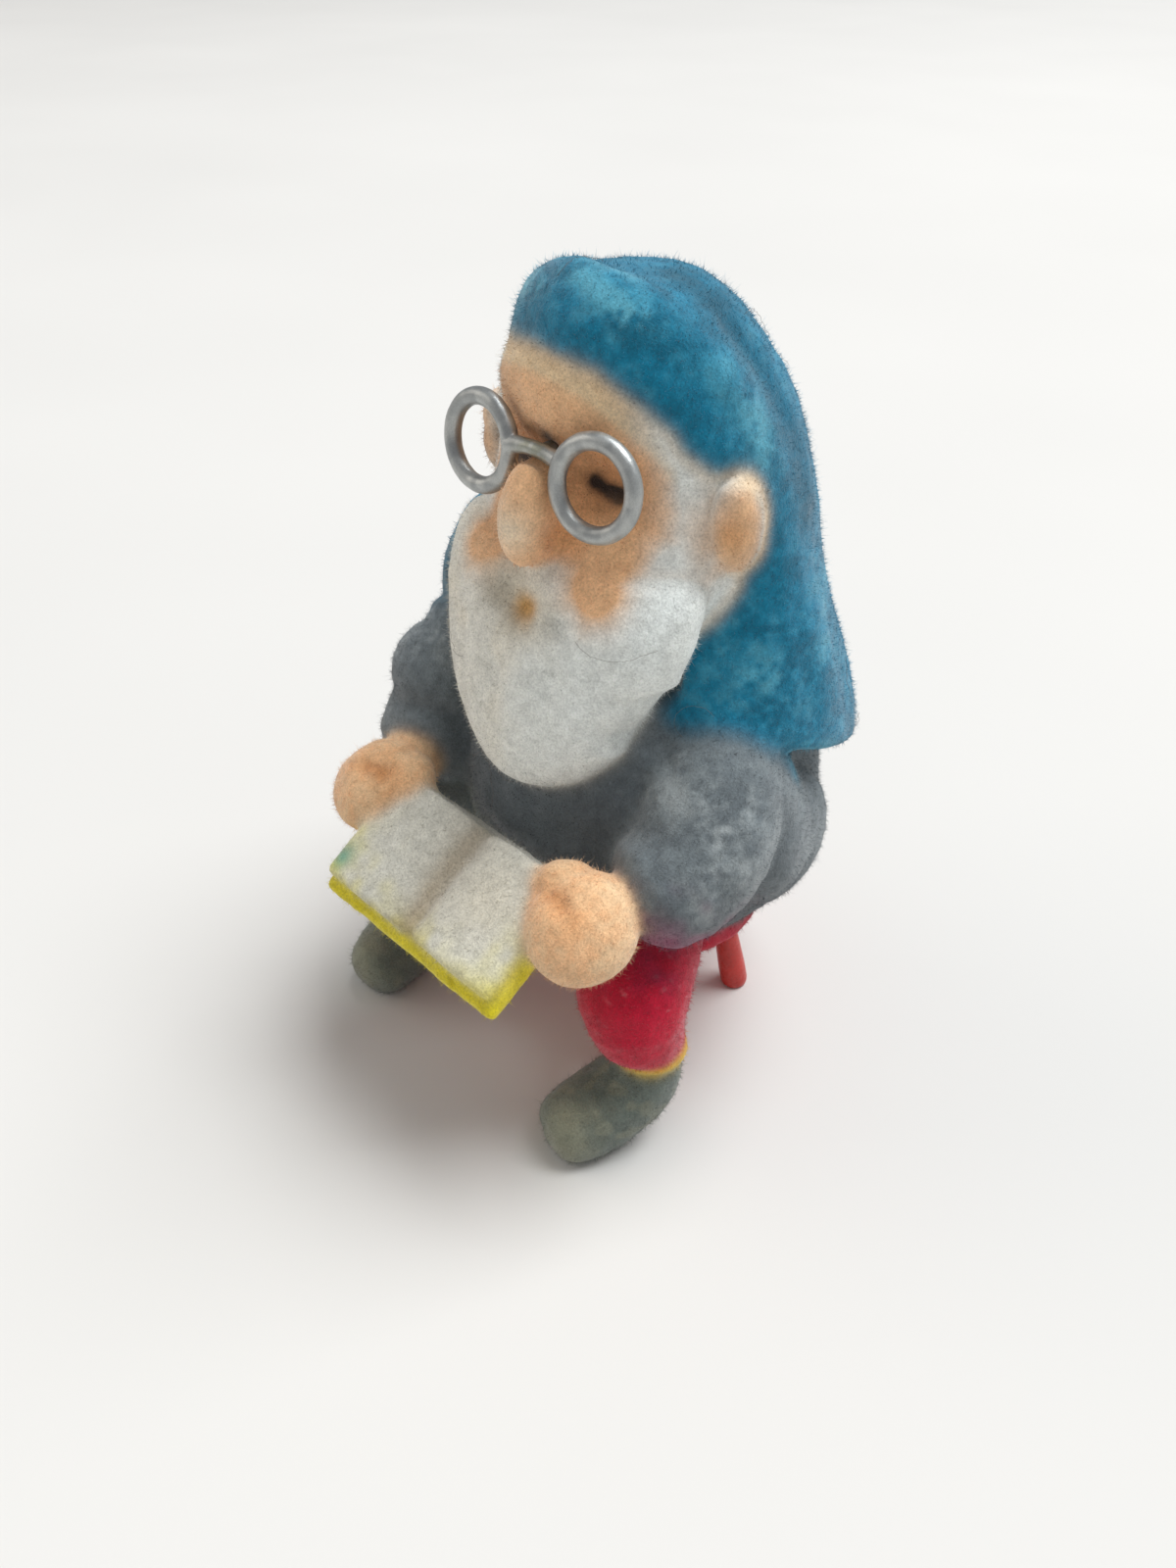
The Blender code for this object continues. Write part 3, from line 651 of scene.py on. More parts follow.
def spray_face():
    """Pale under the brim, orange on the cheeks, dark lashes, and painted shade: orange by the nose, along
    the brows and in the ears, brown round the eyes and dark beside the spectacles' bridge.
    """
    face = np.clip(on.head + 0.6 * on.beard, 0, 1)
    cover(CREAM_SKIN, 0.8 * on.head * smoothstep(0.0, 0.10, on.near_hood))
    cheek = [spot("head", 0.70, 0.26, 0.56), spot("head", 0.62, 0.2, 0.53)]
    behind_ear = [spot("head", 1.0, 0.50, 0.66), spot("head", 0.99, 0.5, 0.52)]
    for side in SIDES:
        spray(ORANGE_SKIN, side(cheek), 3.4, 0.4, on.head)
        # orange painted shade in the crease between nose and cheek
        spray(ORANGE_SKIN, side([spot("head", 0.60, 0.12, 0.54)]), 1.7, 0.75, on.head)
        # painted shade in the eye hollows, inside the spectacle rings
        spray(SHADED_SKIN, side([EYE]), 3.0, 0.7, on.head)
        # orange painted shade along the brows
        spray(ORANGE_SKIN, side(BROW_LINE), 1.5, 0.5, on.head)
        spray(COOL_WHITE, side(SIDEBURN), 2.2, 1.7, face, edge=0.25)
        spray(COOL_WHITE, side(BELOW_EAR), 2.3, 1.7, face, edge=0.25)
        spray(EAR_SKIN, side([spot("head", 0.97, 0.40, 0.58)]), 3.4, 0.9, on.head)
        # orange painted shade in the ear's hollow
        spray(ORANGE_SKIN, side([spot("head", 0.985, 0.37, 0.60)]), 1.3, 0.6, on.head)
        spray(SLOT_COLOUR["hood_blue"], side(behind_ear), 1.2, 0.35, on.head, edge=0.8)
        spray(LASH_AND_SHADE, side(LASH_LINE), 0.66, 2.2, on.head, fade=0.2)
    # painted highlight on the round tip of the nose
    spray(HIGHLIGHT_SKIN, [NOSE_TIP], 1.9, 0.95, on.head)
    # painted shade on the brow beside the spectacles' bridge
    spray(LASH_AND_SHADE, [spot("head", 0.49, 0.20, 0.75)], 0.75, 0.9, on.head)
    spray(LASH_AND_SHADE, [spot("head", 0.42, 0.21, 0.76)], 0.6, 0.8, on.head)
    spray(LASH_AND_SHADE, [spot("head", 0.12, 0.40, 0.61)], 1.1, 0.8, on.head)


def spray_beard():
    """Painted light of cream on the far side and of cool white on the near side, and grey painted shade round
    the ochre mouth.
    """
    # how far each point lies towards the near side; the beard's two sides get painted light, cool white on
    # the near side and cream on the far side
    across = smoothstep(-6 * MM, 7 * MM, skin[:, 0])
    plain = on.beard * smoothstep(0.6, 0.95, on.beard)
    cover(SHADE_GREY, 0.13 * plain * smoothstep(0.6, 0.2, 0.5 * on.patch + 0.5 * on.mottle))
    cover(COOL_WHITE, 0.75 * plain * across)
    cover(WARM_WHITE, 0.45 * plain * (1 - across) * smoothstep(0.3, 0.7, on.patch))
    spray(SHADE_GREY, MOUTH_SHADE, 2.3, 0.75, on.beard)
    spray(SHADE_GREY, [spot("beard", 0.62, 0.24, 0.80)], 1.6, 0.3, on.beard)
    spray(WARM_WHITE, [MOUTH], 3.0, 0.5, on.beard)
    spray(OCHRE, [MOUTH], 1.0, 1.7)


def spray_borders():
    """Skin that runs down in points over the beard, and hood blue over the far edge of the cape."""
    for side in SIDES:
        spray(SLOT_COLOUR["skin"], side(CHEEK_POINT), 2.2, 1.8, edge=0.2)
        spray(SLOT_COLOUR["skin"], side([spot("head", 0.68, 0.26, 0.52)]), 2.2, 0.6, on.head)
    far_cape = [spot("hood", 0.02, 0.2, 0.6), spot("hood", 0.02, 0.2, 0.15)]
    spray(SLOT_COLOUR["hood_blue"], far_cape, 3.4, 2.0, edge=0.2)


def spray_jacket():
    """Darker in front and by the beard as painted shade, teal under the hood, worn pale on the shoulders and
    elbows.
    """
    # painted shade over the jacket's front
    cover(DARK_GREY, 0.5 * on.near_front * on.grey)
    cover(DARK_GREY, 0.4 * on.grey * smoothstep(0.65, 0.25, on.cloud))
    # painted shade under the beard
    cover(DARK_GREY, 0.5 * on.grey * smoothstep(0.05, 0.4, on.near_beard))
    cover(DEEP_TEAL, 0.45 * on.grey * smoothstep(0.02, 0.4, on.near_hood))
    worn = on.grey * smoothstep(0.3, 0.75, on.cloud)
    places = ((0.75, 0.44, 0.82, 3.0), (0.95, 0.45, 0.6, 3.4), (0.3, 0.35, 0.85, 2.4), (0.9, 0.2, 0.4, 2.6))
    for fx, fy, fz, reach in places:
        spray(PALE_GREY, [spot("sleeve_left", fx, fy, fz)], reach, 0.6, worn, edge=0.9)
        spray(PALE_GREY, [spot("sleeve_right", 1 - fx, fy, fz)], reach, 0.6, worn, edge=0.9)


def spray_trousers():
    """Purple where they run in under the grey, pale flecks, and grey that has strayed on to the lap."""
    near_both = smoothstep(0.02, 0.35, on.near_grey) * smoothstep(0.03, 0.3, on.near_legs)
    cover(PURPLE, 0.7 * np.clip(on.legs + 0.5 * on.grey, 0, 1) * near_both)
    cover(FLECK, 0.2 * on.legs * smoothstep(0.7, 0.95, on.speck) * smoothstep(0.45, 0.8, on.patch))
    for place in ((0.6, 0.03, 0.12), (0.8, 0.10, 0.08), (0.95, 0.35, 0.02)):
        spray(PURPLE, [spot("sleeve_left", *place)], 3.2, 0.9, 1 - on.hands, edge=0.8)
    spray(SLOT_COLOUR["jacket_grey"], LAP, 4.2, 1.6, 1 - on.book - on.hands, edge=0.4)


def spray_boots():
    for node in BOOTS:
        toe = [spot(node, 0.45, 0.1, 0.35), spot(node, 0.5, 0.0, 0.2)]
        spray(TOE, toe, 3.0, 0.75, on.boots, edge=0.7)
        spray(BOOT_DARK, [spot(node, 0.6, 0.8, 0.75)], 3.0, 0.5, on.boots)
    cover(TOE, 0.35 * on.boots * smoothstep(0.5, 0.75, on.mottle))


def spray_hands():
    cover(CREAM_SKIN, 0.45 * on.hands * smoothstep(0.3, 0.7, on.cloud))
    for side in SIDES:
        # painted shade in the hollows between the fingers: brown in them, orange round them
        spray(SHADED_SKIN, side(HAND_HOLLOW), 0.9, 0.7, on.hands, fade=0.3)
        spray(ORANGE_SKIN, side(HAND_HOLLOW), 2.6, 0.4, on.hands)


def spray_book():
    """Yellow edges that spill on to the pages, a shaded gutter and a green smudge."""
    far_corner, near_corner = spot("book_cover", 0.0, 0.0, 0.16), spot("book_cover", 1.0, 0.0, 0.16)
    front = [far_corner, spot("book_cover", 0.5, 0.0, 0.02), near_corner]
    near = [near_corner, spot("book_cover", 1.0, 0.45, 0.5)]
    far = [far_corner, spot("book_cover", 0.0, 0.45, 0.5)]
    for line, reach in ((front, 2.3), (near, 1.7), (far, 1.7)):
        spray(SLOT_COLOUR["cover_yellow"], line, reach, 1.5, on.book, edge=0.8)
        spray(PALE_YELLOW, line, 3.0, 0.35, on.pages, edge=0.8)
    rear_edge = [spot("book_cover", fx, 1.0, fz) for fx, fz in ((0.0, 1.0), (0.5, 0.9), (1.0, 1.0))]
    spray(SLOT_COLOUR["paper_white"], rear_edge, 1.5, 1.8, on.book)
    gutter = [spot("pages_right", 1.0, fy, fz) for fy, fz in ((0.05, 0.1), (0.45, 0.5), (1.0, 0.95))]
    spray(GUTTER, gutter, 1.0, 0.7, on.pages, edge=0.6)
    spray(GUTTER, gutter, 2.6, 0.3, on.pages)
    spray(WARM_WHITE, [spot("pages_left", 0.5, 0.5, 0.7)], 4.0, 0.4, on.pages)
    spray(GREEN_SMUDGE, [spot("pages_right", 0.08, 0.14, 0.35)], 1.2, 0.85, on.book)


# Later colours lie over earlier ones, as the paint does on the figure, with painted light and shade among
# them.
spray_hood()
spray_face()
spray_beard()
spray_borders()
spray_jacket()
spray_trousers()
spray_boots()
spray_hands()
spray_book()

# ---- materials ----


class Nodes:
    """Short names for building a node tree."""

    def __init__(self, name):
        self.material = bpy.data.materials.new(name)
        self.material.use_nodes = True
        self.tree = self.material.node_tree
        self.shader = self.tree.nodes["Principled BSDF"]

    def add(self, kind, **settings):
        node = self.tree.nodes.new(kind)
        for key, value in settings.items():
            if key in node.inputs:
                node.inputs[key].default_value = value
            else:
                setattr(node, key, value)
        return node

    def link(self, source, target):
        self.tree.links.new(source, target)

    def feed(self, name, value):
        """Sets an input of the shader, or links it where the value is another node's output."""
        if isinstance(value, bpy.types.NodeSocket):
            self.link(value, self.shader.inputs[name])
        else:
            self.shader.inputs[name].default_value = value

    def plain(self, colour):
        base = self.add("ShaderNodeRGB")
        base.outputs[0].default_value = (*colour, 1)
        return base.outputs["Color"]

    def painted(self, name):
        """The colour stored on the vertices under this name."""
        return self.add("ShaderNodeAttribute", attribute_name=name).outputs["Color"]

    def noise(self, scale, detail=2.0, roughness=0.55):
        place = self.add("ShaderNodeTexCoord")
        noise = self.add("ShaderNodeTexNoise", Scale=scale, Detail=detail, Roughness=roughness)
        self.link(place.outputs["Object"], noise.inputs["Vector"])
        return noise.outputs["Fac"]

    def ranged(self, noise, low, high, span=(0.3, 0.7)):
        """Spreads a noise, whose values lie mostly within its span, to run from low to high."""
        node = self.add("ShaderNodeMapRange")
        for key, value in zip(("From Min", "From Max", "To Min", "To Max"), (*span, low, high)):
            node.inputs[key].default_value = value
        self.link(noise, node.inputs["Value"])
        return node.outputs["Result"]

    def mottled(self, colour, noise, low, high):
        """A colour made darker and lighter by a factor that runs from low to high with the noise."""
        node = self.add("ShaderNodeVectorMath", operation="SCALE")
        self.link(colour, node.inputs[0])
        self.link(self.ranged(noise, low, high), node.inputs["Scale"])
        return node.outputs["Vector"]

    def bump(self, height, strength, distance, after=None):
        node = self.add("ShaderNodeBump", Strength=strength, Distance=distance)
        self.link(height, node.inputs["Height"])
        if after is not None:
            self.link(after, node.inputs["Normal"])
        return node.outputs["Normal"]


FIBRE_GRAIN = 5200  # noise scales, per metre
CLUMP_GRAIN = 900


def flock_material():
    """The coat under the fibres: sprayed colour with fibre-sized mottling and a velvet sheen."""
    n = Nodes("flock")
    fine = n.noise(FIBRE_GRAIN, 3.0, 0.7)
    clumps = n.noise(CLUMP_GRAIN, 3.0)
    n.feed("Base Color", n.mottled(n.mottled(n.painted("coat"), fine, 0.8, 1.26), clumps, 0.88, 1.1))
    n.feed("Roughness", n.ranged(fine, 0.8, 1.0, span=(0.2, 0.8)))
    n.feed("Normal", n.bump(clumps, 0.35, 0.25 * MM, n.bump(fine, 0.7, 0.12 * MM)))
    n.feed("Sheen Weight", 0.35)
    n.feed("Sheen Roughness", 0.5)
    n.feed("Specular IOR Level", 0.15)
    return n.material


def fibre_material():
    n = Nodes("fibres")
    n.feed("Base Color", n.mottled(n.painted("coat"), n.noise(CLUMP_GRAIN), 0.9, 1.1))
    n.feed("Roughness", 0.7)
    n.feed("Specular IOR Level", 0.25)
    n.feed("Sheen Weight", 0.2)
    return n.material


FLOCK = flock_material()
FIBRE = fibre_material()

# ---- cutting the coat into one shell per node ----

LEAST_PATCH = 120  # quads


def face_owners():
    """The node that each quad of the coat belongs to, with stray specks given to their neighbours."""
    owners = share[quads].sum(axis=1).argmax(axis=1)
    pairs = np.concatenate([quads[:, [i, (i + 1) % 4]] for i in range(4)])
    face = np.tile(np.arange(len(quads)), 4)
    order = np.lexsort(np.sort(pairs, axis=1).T)
    pairs, face = np.sort(pairs, axis=1)[order], face[order]
    same = (pairs[1:] == pairs[:-1]).all(axis=1)
    beside = np.stack([face[:-1][same], face[1:][same]], axis=1)
    for _ in range(3):
        alike = beside[owners[beside[:, 0]] == owners[beside[:, 1]]]
        label = components(len(quads), alike)
        size = np.bincount(label, minlength=len(quads))[label]
        small = size < LEAST_PATCH
        if not small.any():
            break
        both = np.concatenate([beside, beside[:, ::-1]])
        both = both[small[both[:, 0]] & ~small[both[:, 1]]]
        votes = {}
        for speck_label, owner in zip(label[both[:, 0]], owners[both[:, 1]]):
            votes.setdefault(speck_label, []).append(owner)
        for speck_label, found in votes.items():
            owners[label == speck_label] = np.bincount(found).argmax()
    return owners


def shell_of(part):
    """(points, quads, used skin vertices) of a closed shell whose outside is part of the coat."""
    used, local = np.unique(part, return_inverse=True)
    local = local.reshape(-1, 4)
    count = len(used)
    outside = skin[used]
    inside = outside - SHELL_THICKNESS * normals[used]
    ways = np.concatenate([local[:, [i, (i + 1) % 4]] for i in range(4)])
    code = ways[:, 0].astype(np.int64) * count + ways[:, 1]
    back = ways[:, 1].astype(np.int64) * count + ways[:, 0]
    rim = ways[~np.isin(code, back)]
    walls = np.stack([rim[:, 1], rim[:, 0], rim[:, 0] + count, rim[:, 1] + count], axis=1)
    faces = np.concatenate([local, local[:, ::-1] + count, walls])
    return np.concatenate([outside, inside]), faces, used


# Sizes of the fibres, in mm but for the two shares. Most are short, and a few long and thin.
LONG_SHARE = 0.12
LONG_LENGTH = (0.6, 1.1)
LONG_RADIUS = 0.014
SHORT_LENGTH = (0.25, 0.55)
SHORT_RADIUS = (0.016, 0.030)
ROOT_DEPTH = 0.06
LEAN_SHARE = 0.75
# A fibre's root is darkened against the coat's colour as painted shade, and its tip lightened as painted
# light.
ROOT_SHADE = 0.85
TIP_LIGHT_FACTOR = 1.25
TIP_LIGHT_ADDED = 0.05
NEEDLE_FACES = np.array([[0, 1, 3], [1, 2, 3], [2, 0, 3], [0, 2, 1]])


def needles(rng, part, name):
    """Short tapered fibres that stand out of part of the coat, lighter at their tips as painted light and
    darker at their roots as painted shade.
    """
    corner = skin[part]
    area = 0.5 * np.linalg.norm(np.cross(corner[:, 2] - corner[:, 0], corner[:, 3] - corner[:, 1]), axis=1)
    count = int(min(MOST_FIBRES, area.sum() / MM**2 * FIBRES_PER_MM2))
    face = part[rng.choice(len(part), count, p=area / area.sum())]
    u, v = rng.random((2, count, 1))
    weights = np.stack([(1 - u) * (1 - v), u * (1 - v), u * v, (1 - u) * v], axis=1)
    root, normal, colour = ((values[face] * weights).sum(axis=1) for values in (skin, normals, colours))
    normal = unit(normal)
    lean = rng.normal(size=(count, 3))
    lean -= (lean * normal).sum(axis=1, keepdims=True) * normal
    direction = unit(normal + LEAN_SHARE * lean)
    is_long = rng.random((count, 1)) < LONG_SHARE
    long_length = rng.uniform(*LONG_LENGTH, (count, 1))
    length = np.where(is_long, long_length, rng.uniform(*SHORT_LENGTH, (count, 1))) * MM
    radius = np.where(is_long, LONG_RADIUS, rng.uniform(*SHORT_RADIUS, (count, 1))) * MM
    side = unit(np.cross(direction, rng.normal(size=(count, 3))))
    other = np.cross(direction, side)
    base = root - ROOT_DEPTH * MM * normal
    angles = [step * math.tau / 3 for step in range(3)]
    ring = [base + radius * (math.cos(a) * side + math.sin(a) * other) for a in angles]
    tip = root + length * direction
    tip[:, 2] = np.maximum(tip[:, 2], 0.0)
    points = np.stack([*ring, tip], axis=1).reshape(-1, 3)
    first = np.arange(count)[:, None, None] * 4
    shade = rng.normal(1.0, 0.16, (count, 1)).clip(0.6, 1.6)
    # painted shade at the roots and painted light at the tips
    low, high = colour * shade * ROOT_SHADE, colour * shade * TIP_LIGHT_FACTOR + TIP_LIGHT_ADDED
    obj = new_object(name, points, (first + NEEDLE_FACES).reshape(-1, 3))
    paint(obj, "coat", np.stack([low, low, low, high], axis=1).reshape(-1, 3))
    obj.data.materials.append(FIBRE)
    return obj


def make_coat_pieces():
    """A closed shell and a mesh of fibres for each coated node."""
    owners = face_owners()
    rng = np.random.default_rng(SEED)
    for number, name in enumerate(NAMES):
        part = quads[owners == number]
        if not len(part):
            print("coat: no face belongs to", name)
            continue
        points, faces, used = shell_of(part)
        piece = new_object(name + "_coat", points, faces)
        piece.data.materials.append(FLOCK)
        paint(piece, "coat", np.concatenate([colours[used], colours[used]]))
        smooth = np.concatenate([normals[used], -normals[used]])
        piece.data.normals_split_custom_set_from_vertices(smooth.tolist())
        fibres = needles(rng, part, name + "_fibres")
        for obj in (piece, fibres):
            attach(obj, "root")
        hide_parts(name)


make_coat_pieces()

# ---- spectacles ----

ANY_WAY = (0.3, 0.9, 0.31)  # no tube starts along it


def tube(path, radii, around=14, closed=False):
    """(points, triangles) of a round tube along a path, closed as a ring or capped at both ends."""
    path = np.asarray(path, float)
    count = len(path)
    along = np.roll(path, -1, axis=0) - np.roll(path, 1, axis=0)
    if not closed:
        along[0], along[-1] = path[1] - path[0], path[-1] - path[-2]
    along = unit(along)
    across = np.cross(along[0], ANY_WAY)
    radii = np.broadcast_to(radii, count)
    turns = np.arange(around) * math.tau / around
    points = []
    for i in range(count):
        across = unit((across - (across @ along[i]) * along[i])[None])[0]
        other = np.cross(along[i], across)
        circle = np.cos(turns)[:, None] * across + np.sin(turns)[:, None] * other
        points.append(path[i] + radii[i] * circle)
    faces = []
    for i in range(count if closed else count - 1):
        a, b = i * around, (i + 1) % count * around
        for k in range(around):
            m = (k + 1) % around
            faces += [(a + k, a + m, b + m), (a + k, b + m, b + k)]
    points = np.concatenate(points)
    if not closed:
        ends = len(points)
        points = np.concatenate([points, path[:1], path[-1:]])
        last = (count - 1) * around
        for k in range(around):
            m = (k + 1) % around
            faces += [(ends, m, k), (ends + 1, last + k, last + m)]
    return points, np.array(faces)


def merged(parts):
    """Several meshes as one (points, triangles)."""
    points, faces, count = [], [], 0
    for part_points, part_faces in parts:
        points.append(part_points)
        faces.append(part_faces + count)
        count += len(part_points)
    return np.concatenate(points), np.concatenate(faces)


RING_RADIUS = 3.42 * MM
RING_PLACE = 6.3 * MM  # from the middle to the centre of a ring
WIRE_RADIUS = 0.72 * MM
NEAR_RING_TURN = math.radians(9)
# The spectacles lean back with the face, so they have directions of their own.
LEAN = math.radians(10)
UP = np.array([0, math.sin(LEAN), math.cos(LEAN)])
OUT = np.array([0, -math.cos(LEAN), math.sin(LEAN)])
RIGHT = np.array([1.0, 0, 0])
TURNED_RIGHT = math.cos(NEAR_RING_TURN) * RIGHT + math.sin(NEAR_RING_TURN) * np.cross(UP, RIGHT)
RING_STEPS = 72
BRIDGE_LIFT = 0.7 * MM
BRIDGE_ARCH = 0.45 * MM
BRIDGE_OVERLAP = 0.1 * MM
PIN_LIFT = 0.9 * MM
PIN_RADIUS = 0.5 * MM
WORN_HALF_WIDTH = 1.9 * MM
SPECTACLES_VOXEL = 0.10 * MM
SILVER = linear("b4b6b4")
WORN_SILVER = linear("8d8f80")
DARK_SILVER = linear("7b7f82")


def spectacles_tubes(middle):
    """The two rings, the arched bridge between them and the pin that holds them to the head."""
    parts = []
    turns = np.arange(RING_STEPS)[:, None] * math.tau / RING_STEPS
    for side, sideways in ((-1, RIGHT), (1, TURNED_RIGHT)):
        centre = middle + side * RING_PLACE * RIGHT
        ring = centre + RING_RADIUS * (np.cos(turns) * sideways + np.sin(turns) * UP)
        parts.append(tube(ring, WIRE_RADIUS, closed=True))
    steps = np.linspace(-1, 1, 13)
    half_bridge = RING_PLACE - RING_RADIUS + BRIDGE_OVERLAP
    arch = (BRIDGE_ARCH * (1 - steps**2))[:, None]
    bridge = middle + BRIDGE_LIFT * UP + steps[:, None] * half_bridge * RIGHT + arch * UP + 0.2 * arch * OUT
    bridge_radius = (0.62 + 0.22 * np.abs(steps) ** 3) * MM  # thicker towards the rings
    parts.append(tube(bridge, bridge_radius))
    front = middle + PIN_LIFT * UP
    back = spot("spectacles", 0.5, 0.97, 0.5)
    back[2] = front[2]
    parts.append(tube(np.linspace(front, back, 4), PIN_RADIUS))
    return parts


def spectacles_tones(points, middle):
    """Silver with darker clouds, and a browner patch where the bridge is worn."""
    tone = np.tile(SILVER, (len(points), 1))
    cloud = smoothstep(0.35, 0.75, value_noise(points, 0.8 * MM, 1))
    tone += (0.45 * cloud)[:, None] * (DARK_SILVER - tone)
    worn = np.exp(-((np.abs(points[:, 0] - middle[0]) / WORN_HALF_WIDTH) ** 4))
    worn *= 0.4 + 0.6 * smoothstep(0.3, 0.6, value_noise(points, 0.5 * MM, 3))
    tone += (0.8 * worn)[:, None] * (WORN_SILVER - tone)
    return tone


def silver_material():
    """Dull silver paint."""
    n = Nodes("silver_paint")
    fine = n.noise(9000, 3.0, 0.6)
    n.feed("Base Color", n.mottled(n.painted("tone"), fine, 0.86, 1.12))
    n.feed("Roughness", n.ranged(n.noise(1500), 0.34, 0.5))
    n.feed("Normal", n.bump(fine, 0.25, 0.02 * MM))
    n.feed("Metallic", 0.72)
    return n.material


def make_spectacles():
    middle = spot("spectacles", 0.5, 0.33, 0.5)
    points, quads = remeshed(*merged(spectacles_tubes(middle)), SPECTACLES_VOXEL)
    points = relaxed(points, edges_of(quads), 4)
    facing = vertex_normals(points, quads)
    points += (0.035 * MM * (value_noise(points, 0.7 * MM, 2) - 0.5))[:, None] * facing
    piece = new_object("spectacles_paint", points, quads)
    paint(piece, "tone", spectacles_tones(points, middle))
    piece.data.materials.append(silver_material())
    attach(piece, "root")
    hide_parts("spectacles")


make_spectacles()

# ---- stool ----

STOOL_RED = linear("c2261a")
DOWEL_WOOD = linear("c9a678")
STOOL_VOXEL = 0.2 * MM


def plastic_material():
    """Glossy red paint, a little uneven, with a fine orange peel."""
    n = Nodes("stool_plastic")
    n.feed("Base Color", n.mottled(n.plain(STOOL_RED), n.noise(420, 3.0), 0.86, 1.1))
    n.feed("Roughness", n.ranged(n.noise(1300), 0.22, 0.36))
    n.feed("Normal", n.bump(n.noise(1800, 1.0), 0.15, 0.03 * MM))
    return n.material


def wood_material():
    """Bare pale wood."""
    n = Nodes("dowel_wood")
    n.feed("Base Color", n.mottled(n.plain(DOWEL_WOOD), n.noise(2600, 3.0), 0.75, 1.1))
    n.feed("Roughness", n.ranged(n.noise(900), 0.6, 0.8))
    return n.material


LEG_NAMES = ("front_left", "front_right", "rear_left", "rear_right")
PLASTIC = plastic_material()
HARD = [("stool_seat", "stool_red", PLASTIC), ("seat_dowel", "dowel_wood", wood_material())]
HARD += [("stool_leg_" + name, "stool_red", PLASTIC) for name in LEG_NAMES]


def make_hard_pieces():
    """Rounder copies of the turned stool pieces, with softened edges."""
    for node, slot, material in HARD:
        points, faces = triangles_of(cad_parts[node])
        low, high = points.min(axis=0), points.max(axis=0)
        points, quads = remeshed(points, faces, STOOL_VOXEL)
        points = relaxed(points, edges_of(quads), 5)
        points[:, 2] = np.clip(points[:, 2], low[2], high[2])
        piece = new_object(node + "_paint", points, quads)
        piece.data.materials.append(material)
        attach(piece, "root")
        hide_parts(node)


make_hard_pieces()

# ---- loose hairs caught in the coat ----

HAIRS = 26
HAIR_COLOUR = (0.16, 0.13, 0.11)
HAIR_RADIUS = 0.016 * MM
HAIR_STEP = 0.35 * MM


def hair_path(rng, tree, at):
    """A curling line just clear of the coat, from this point on."""
    heading = unit(rng.normal(size=(1, 3)))[0]
    turn = rng.normal(0, 0.1)
    path = []
    for _ in range(int(rng.integers(12, 26))):
        place, normal, _, _ = tree.find_nearest(Vector(at))
        normal = np.array(normal)
        path.append(np.array(place) + normal * (0.25 + 0.25 * rng.random()) * MM)
        heading = heading - (heading @ normal) * normal
        sideways = np.cross(normal, heading)
        heading = unit((heading + turn * sideways + 0.1 * rng.normal(size=3))[None])[0]
        at = path[-1] + HAIR_STEP * heading
    return path


def make_hairs():
    """Long stray hairs that lie curled over the beard, the hood, the jacket and the near sleeve."""
    rng = np.random.default_rng(SEED + 1)
    tree = BVHTree.FromPolygons([Vector(p) for p in skin], quads.tolist())
    starts = np.flatnonzero(any_of(["beard", "hood", "jacket_front", "sleeve_left"], share) > 0.9)
    paths = [hair_path(rng, tree, skin[rng.choice(starts)]) for _ in range(HAIRS)]
    hairs = new_object("stray_hairs", *merged([tube(path, HAIR_RADIUS, around=3) for path in paths]))
    n = Nodes("stray_hair")
    n.feed("Base Color", n.mottled(n.plain(HAIR_COLOUR), n.noise(700), 0.6, 1.6))
    n.feed("Roughness", 0.5)
    hairs.data.materials.append(n.material)
    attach(hairs, "root")


make_hairs()

# ---- stage ----

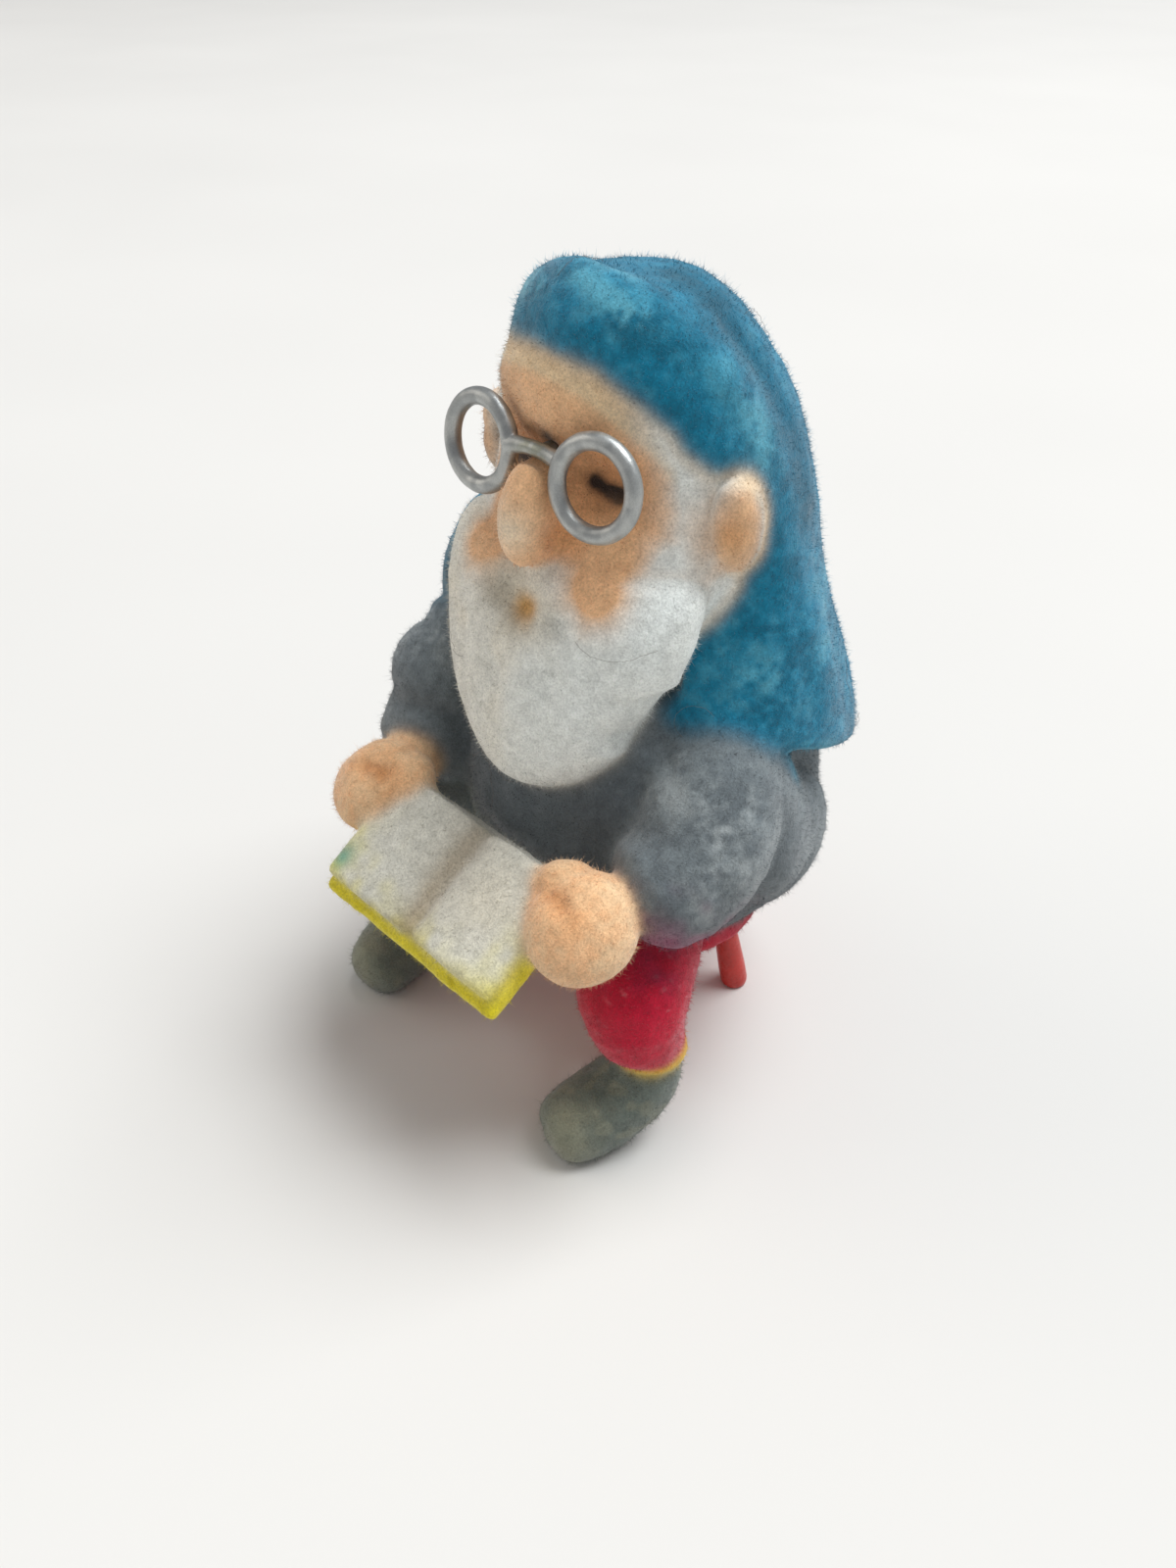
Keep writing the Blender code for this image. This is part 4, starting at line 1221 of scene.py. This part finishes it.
FLOOR_HALF = 6.0
FLOOR_DROP = 0.00002  # keeps the floor just clear of the soles
FLOOR_COLOUR = (0.72, 0.70, 0.67)
SKY_COLOUR = (0.95, 0.97, 1.0)
SKY_STRENGTH = 0.36
CAMERA_PLACE = (0.0629, -0.06463, 0.099)
CAMERA_TURN = (math.radians(51.5), 0, math.radians(45))
CAMERA_LENS = 27.045


def make_floor():
    corners = [(-1, -1, 0), (1, -1, 0), (1, 1, 0), (-1, 1, 0)]
    floor = new_object("floor", FLOOR_HALF * np.array(corners) - (0, 0, FLOOR_DROP), np.array([[0, 1, 2, 3]]))
    n = Nodes("floor")
    n.feed("Base Color", n.mottled(n.plain(FLOOR_COLOUR), n.noise(6), 0.98, 1.02))
    n.feed("Roughness", 0.8)
    floor.data.materials.append(n.material)


def area_light(name, place, size, power, colour):
    """A square light that faces the middle of the figure."""
    data = bpy.data.lights.new(name, "AREA")
    data.size = size
    data.energy = power
    data.color = colour
    light = bpy.data.objects.new(name, data)
    light.location = place
    middle = (CAD_BOX[0] + CAD_BOX[1]) / 2
    light.rotation_euler = (Vector(middle) - Vector(place)).to_track_quat("-Z", "Y").to_euler()
    bpy.context.scene.collection.objects.link(light)


def make_sky():
    world = bpy.data.worlds.new("studio")
    world.use_nodes = True
    background = world.node_tree.nodes["Background"]
    background.inputs["Color"].default_value = (*SKY_COLOUR, 1)
    background.inputs["Strength"].default_value = SKY_STRENGTH
    bpy.context.scene.world = world


def make_camera():
    data = bpy.data.cameras.new("camera")
    data.lens = CAMERA_LENS
    data.sensor_width = 36
    data.clip_start = 0.005
    camera = bpy.data.objects.new("camera", data)
    camera.location = CAMERA_PLACE
    camera.rotation_euler = CAMERA_TURN
    bpy.context.scene.collection.objects.link(camera)
    bpy.context.scene.camera = camera


def make_stage():
    make_floor()
    area_light("key", (0.5, 0.95, 2.4), size=1.6, power=76, colour=(0.95, 0.98, 1.0))
    area_light("warm_fill", (-2.2, -1.3, 1.3), size=2.0, power=15, colour=(1.0, 0.92, 0.82))
    make_sky()
    make_camera()
    bpy.context.scene.view_settings.view_transform = "Standard"


make_stage()
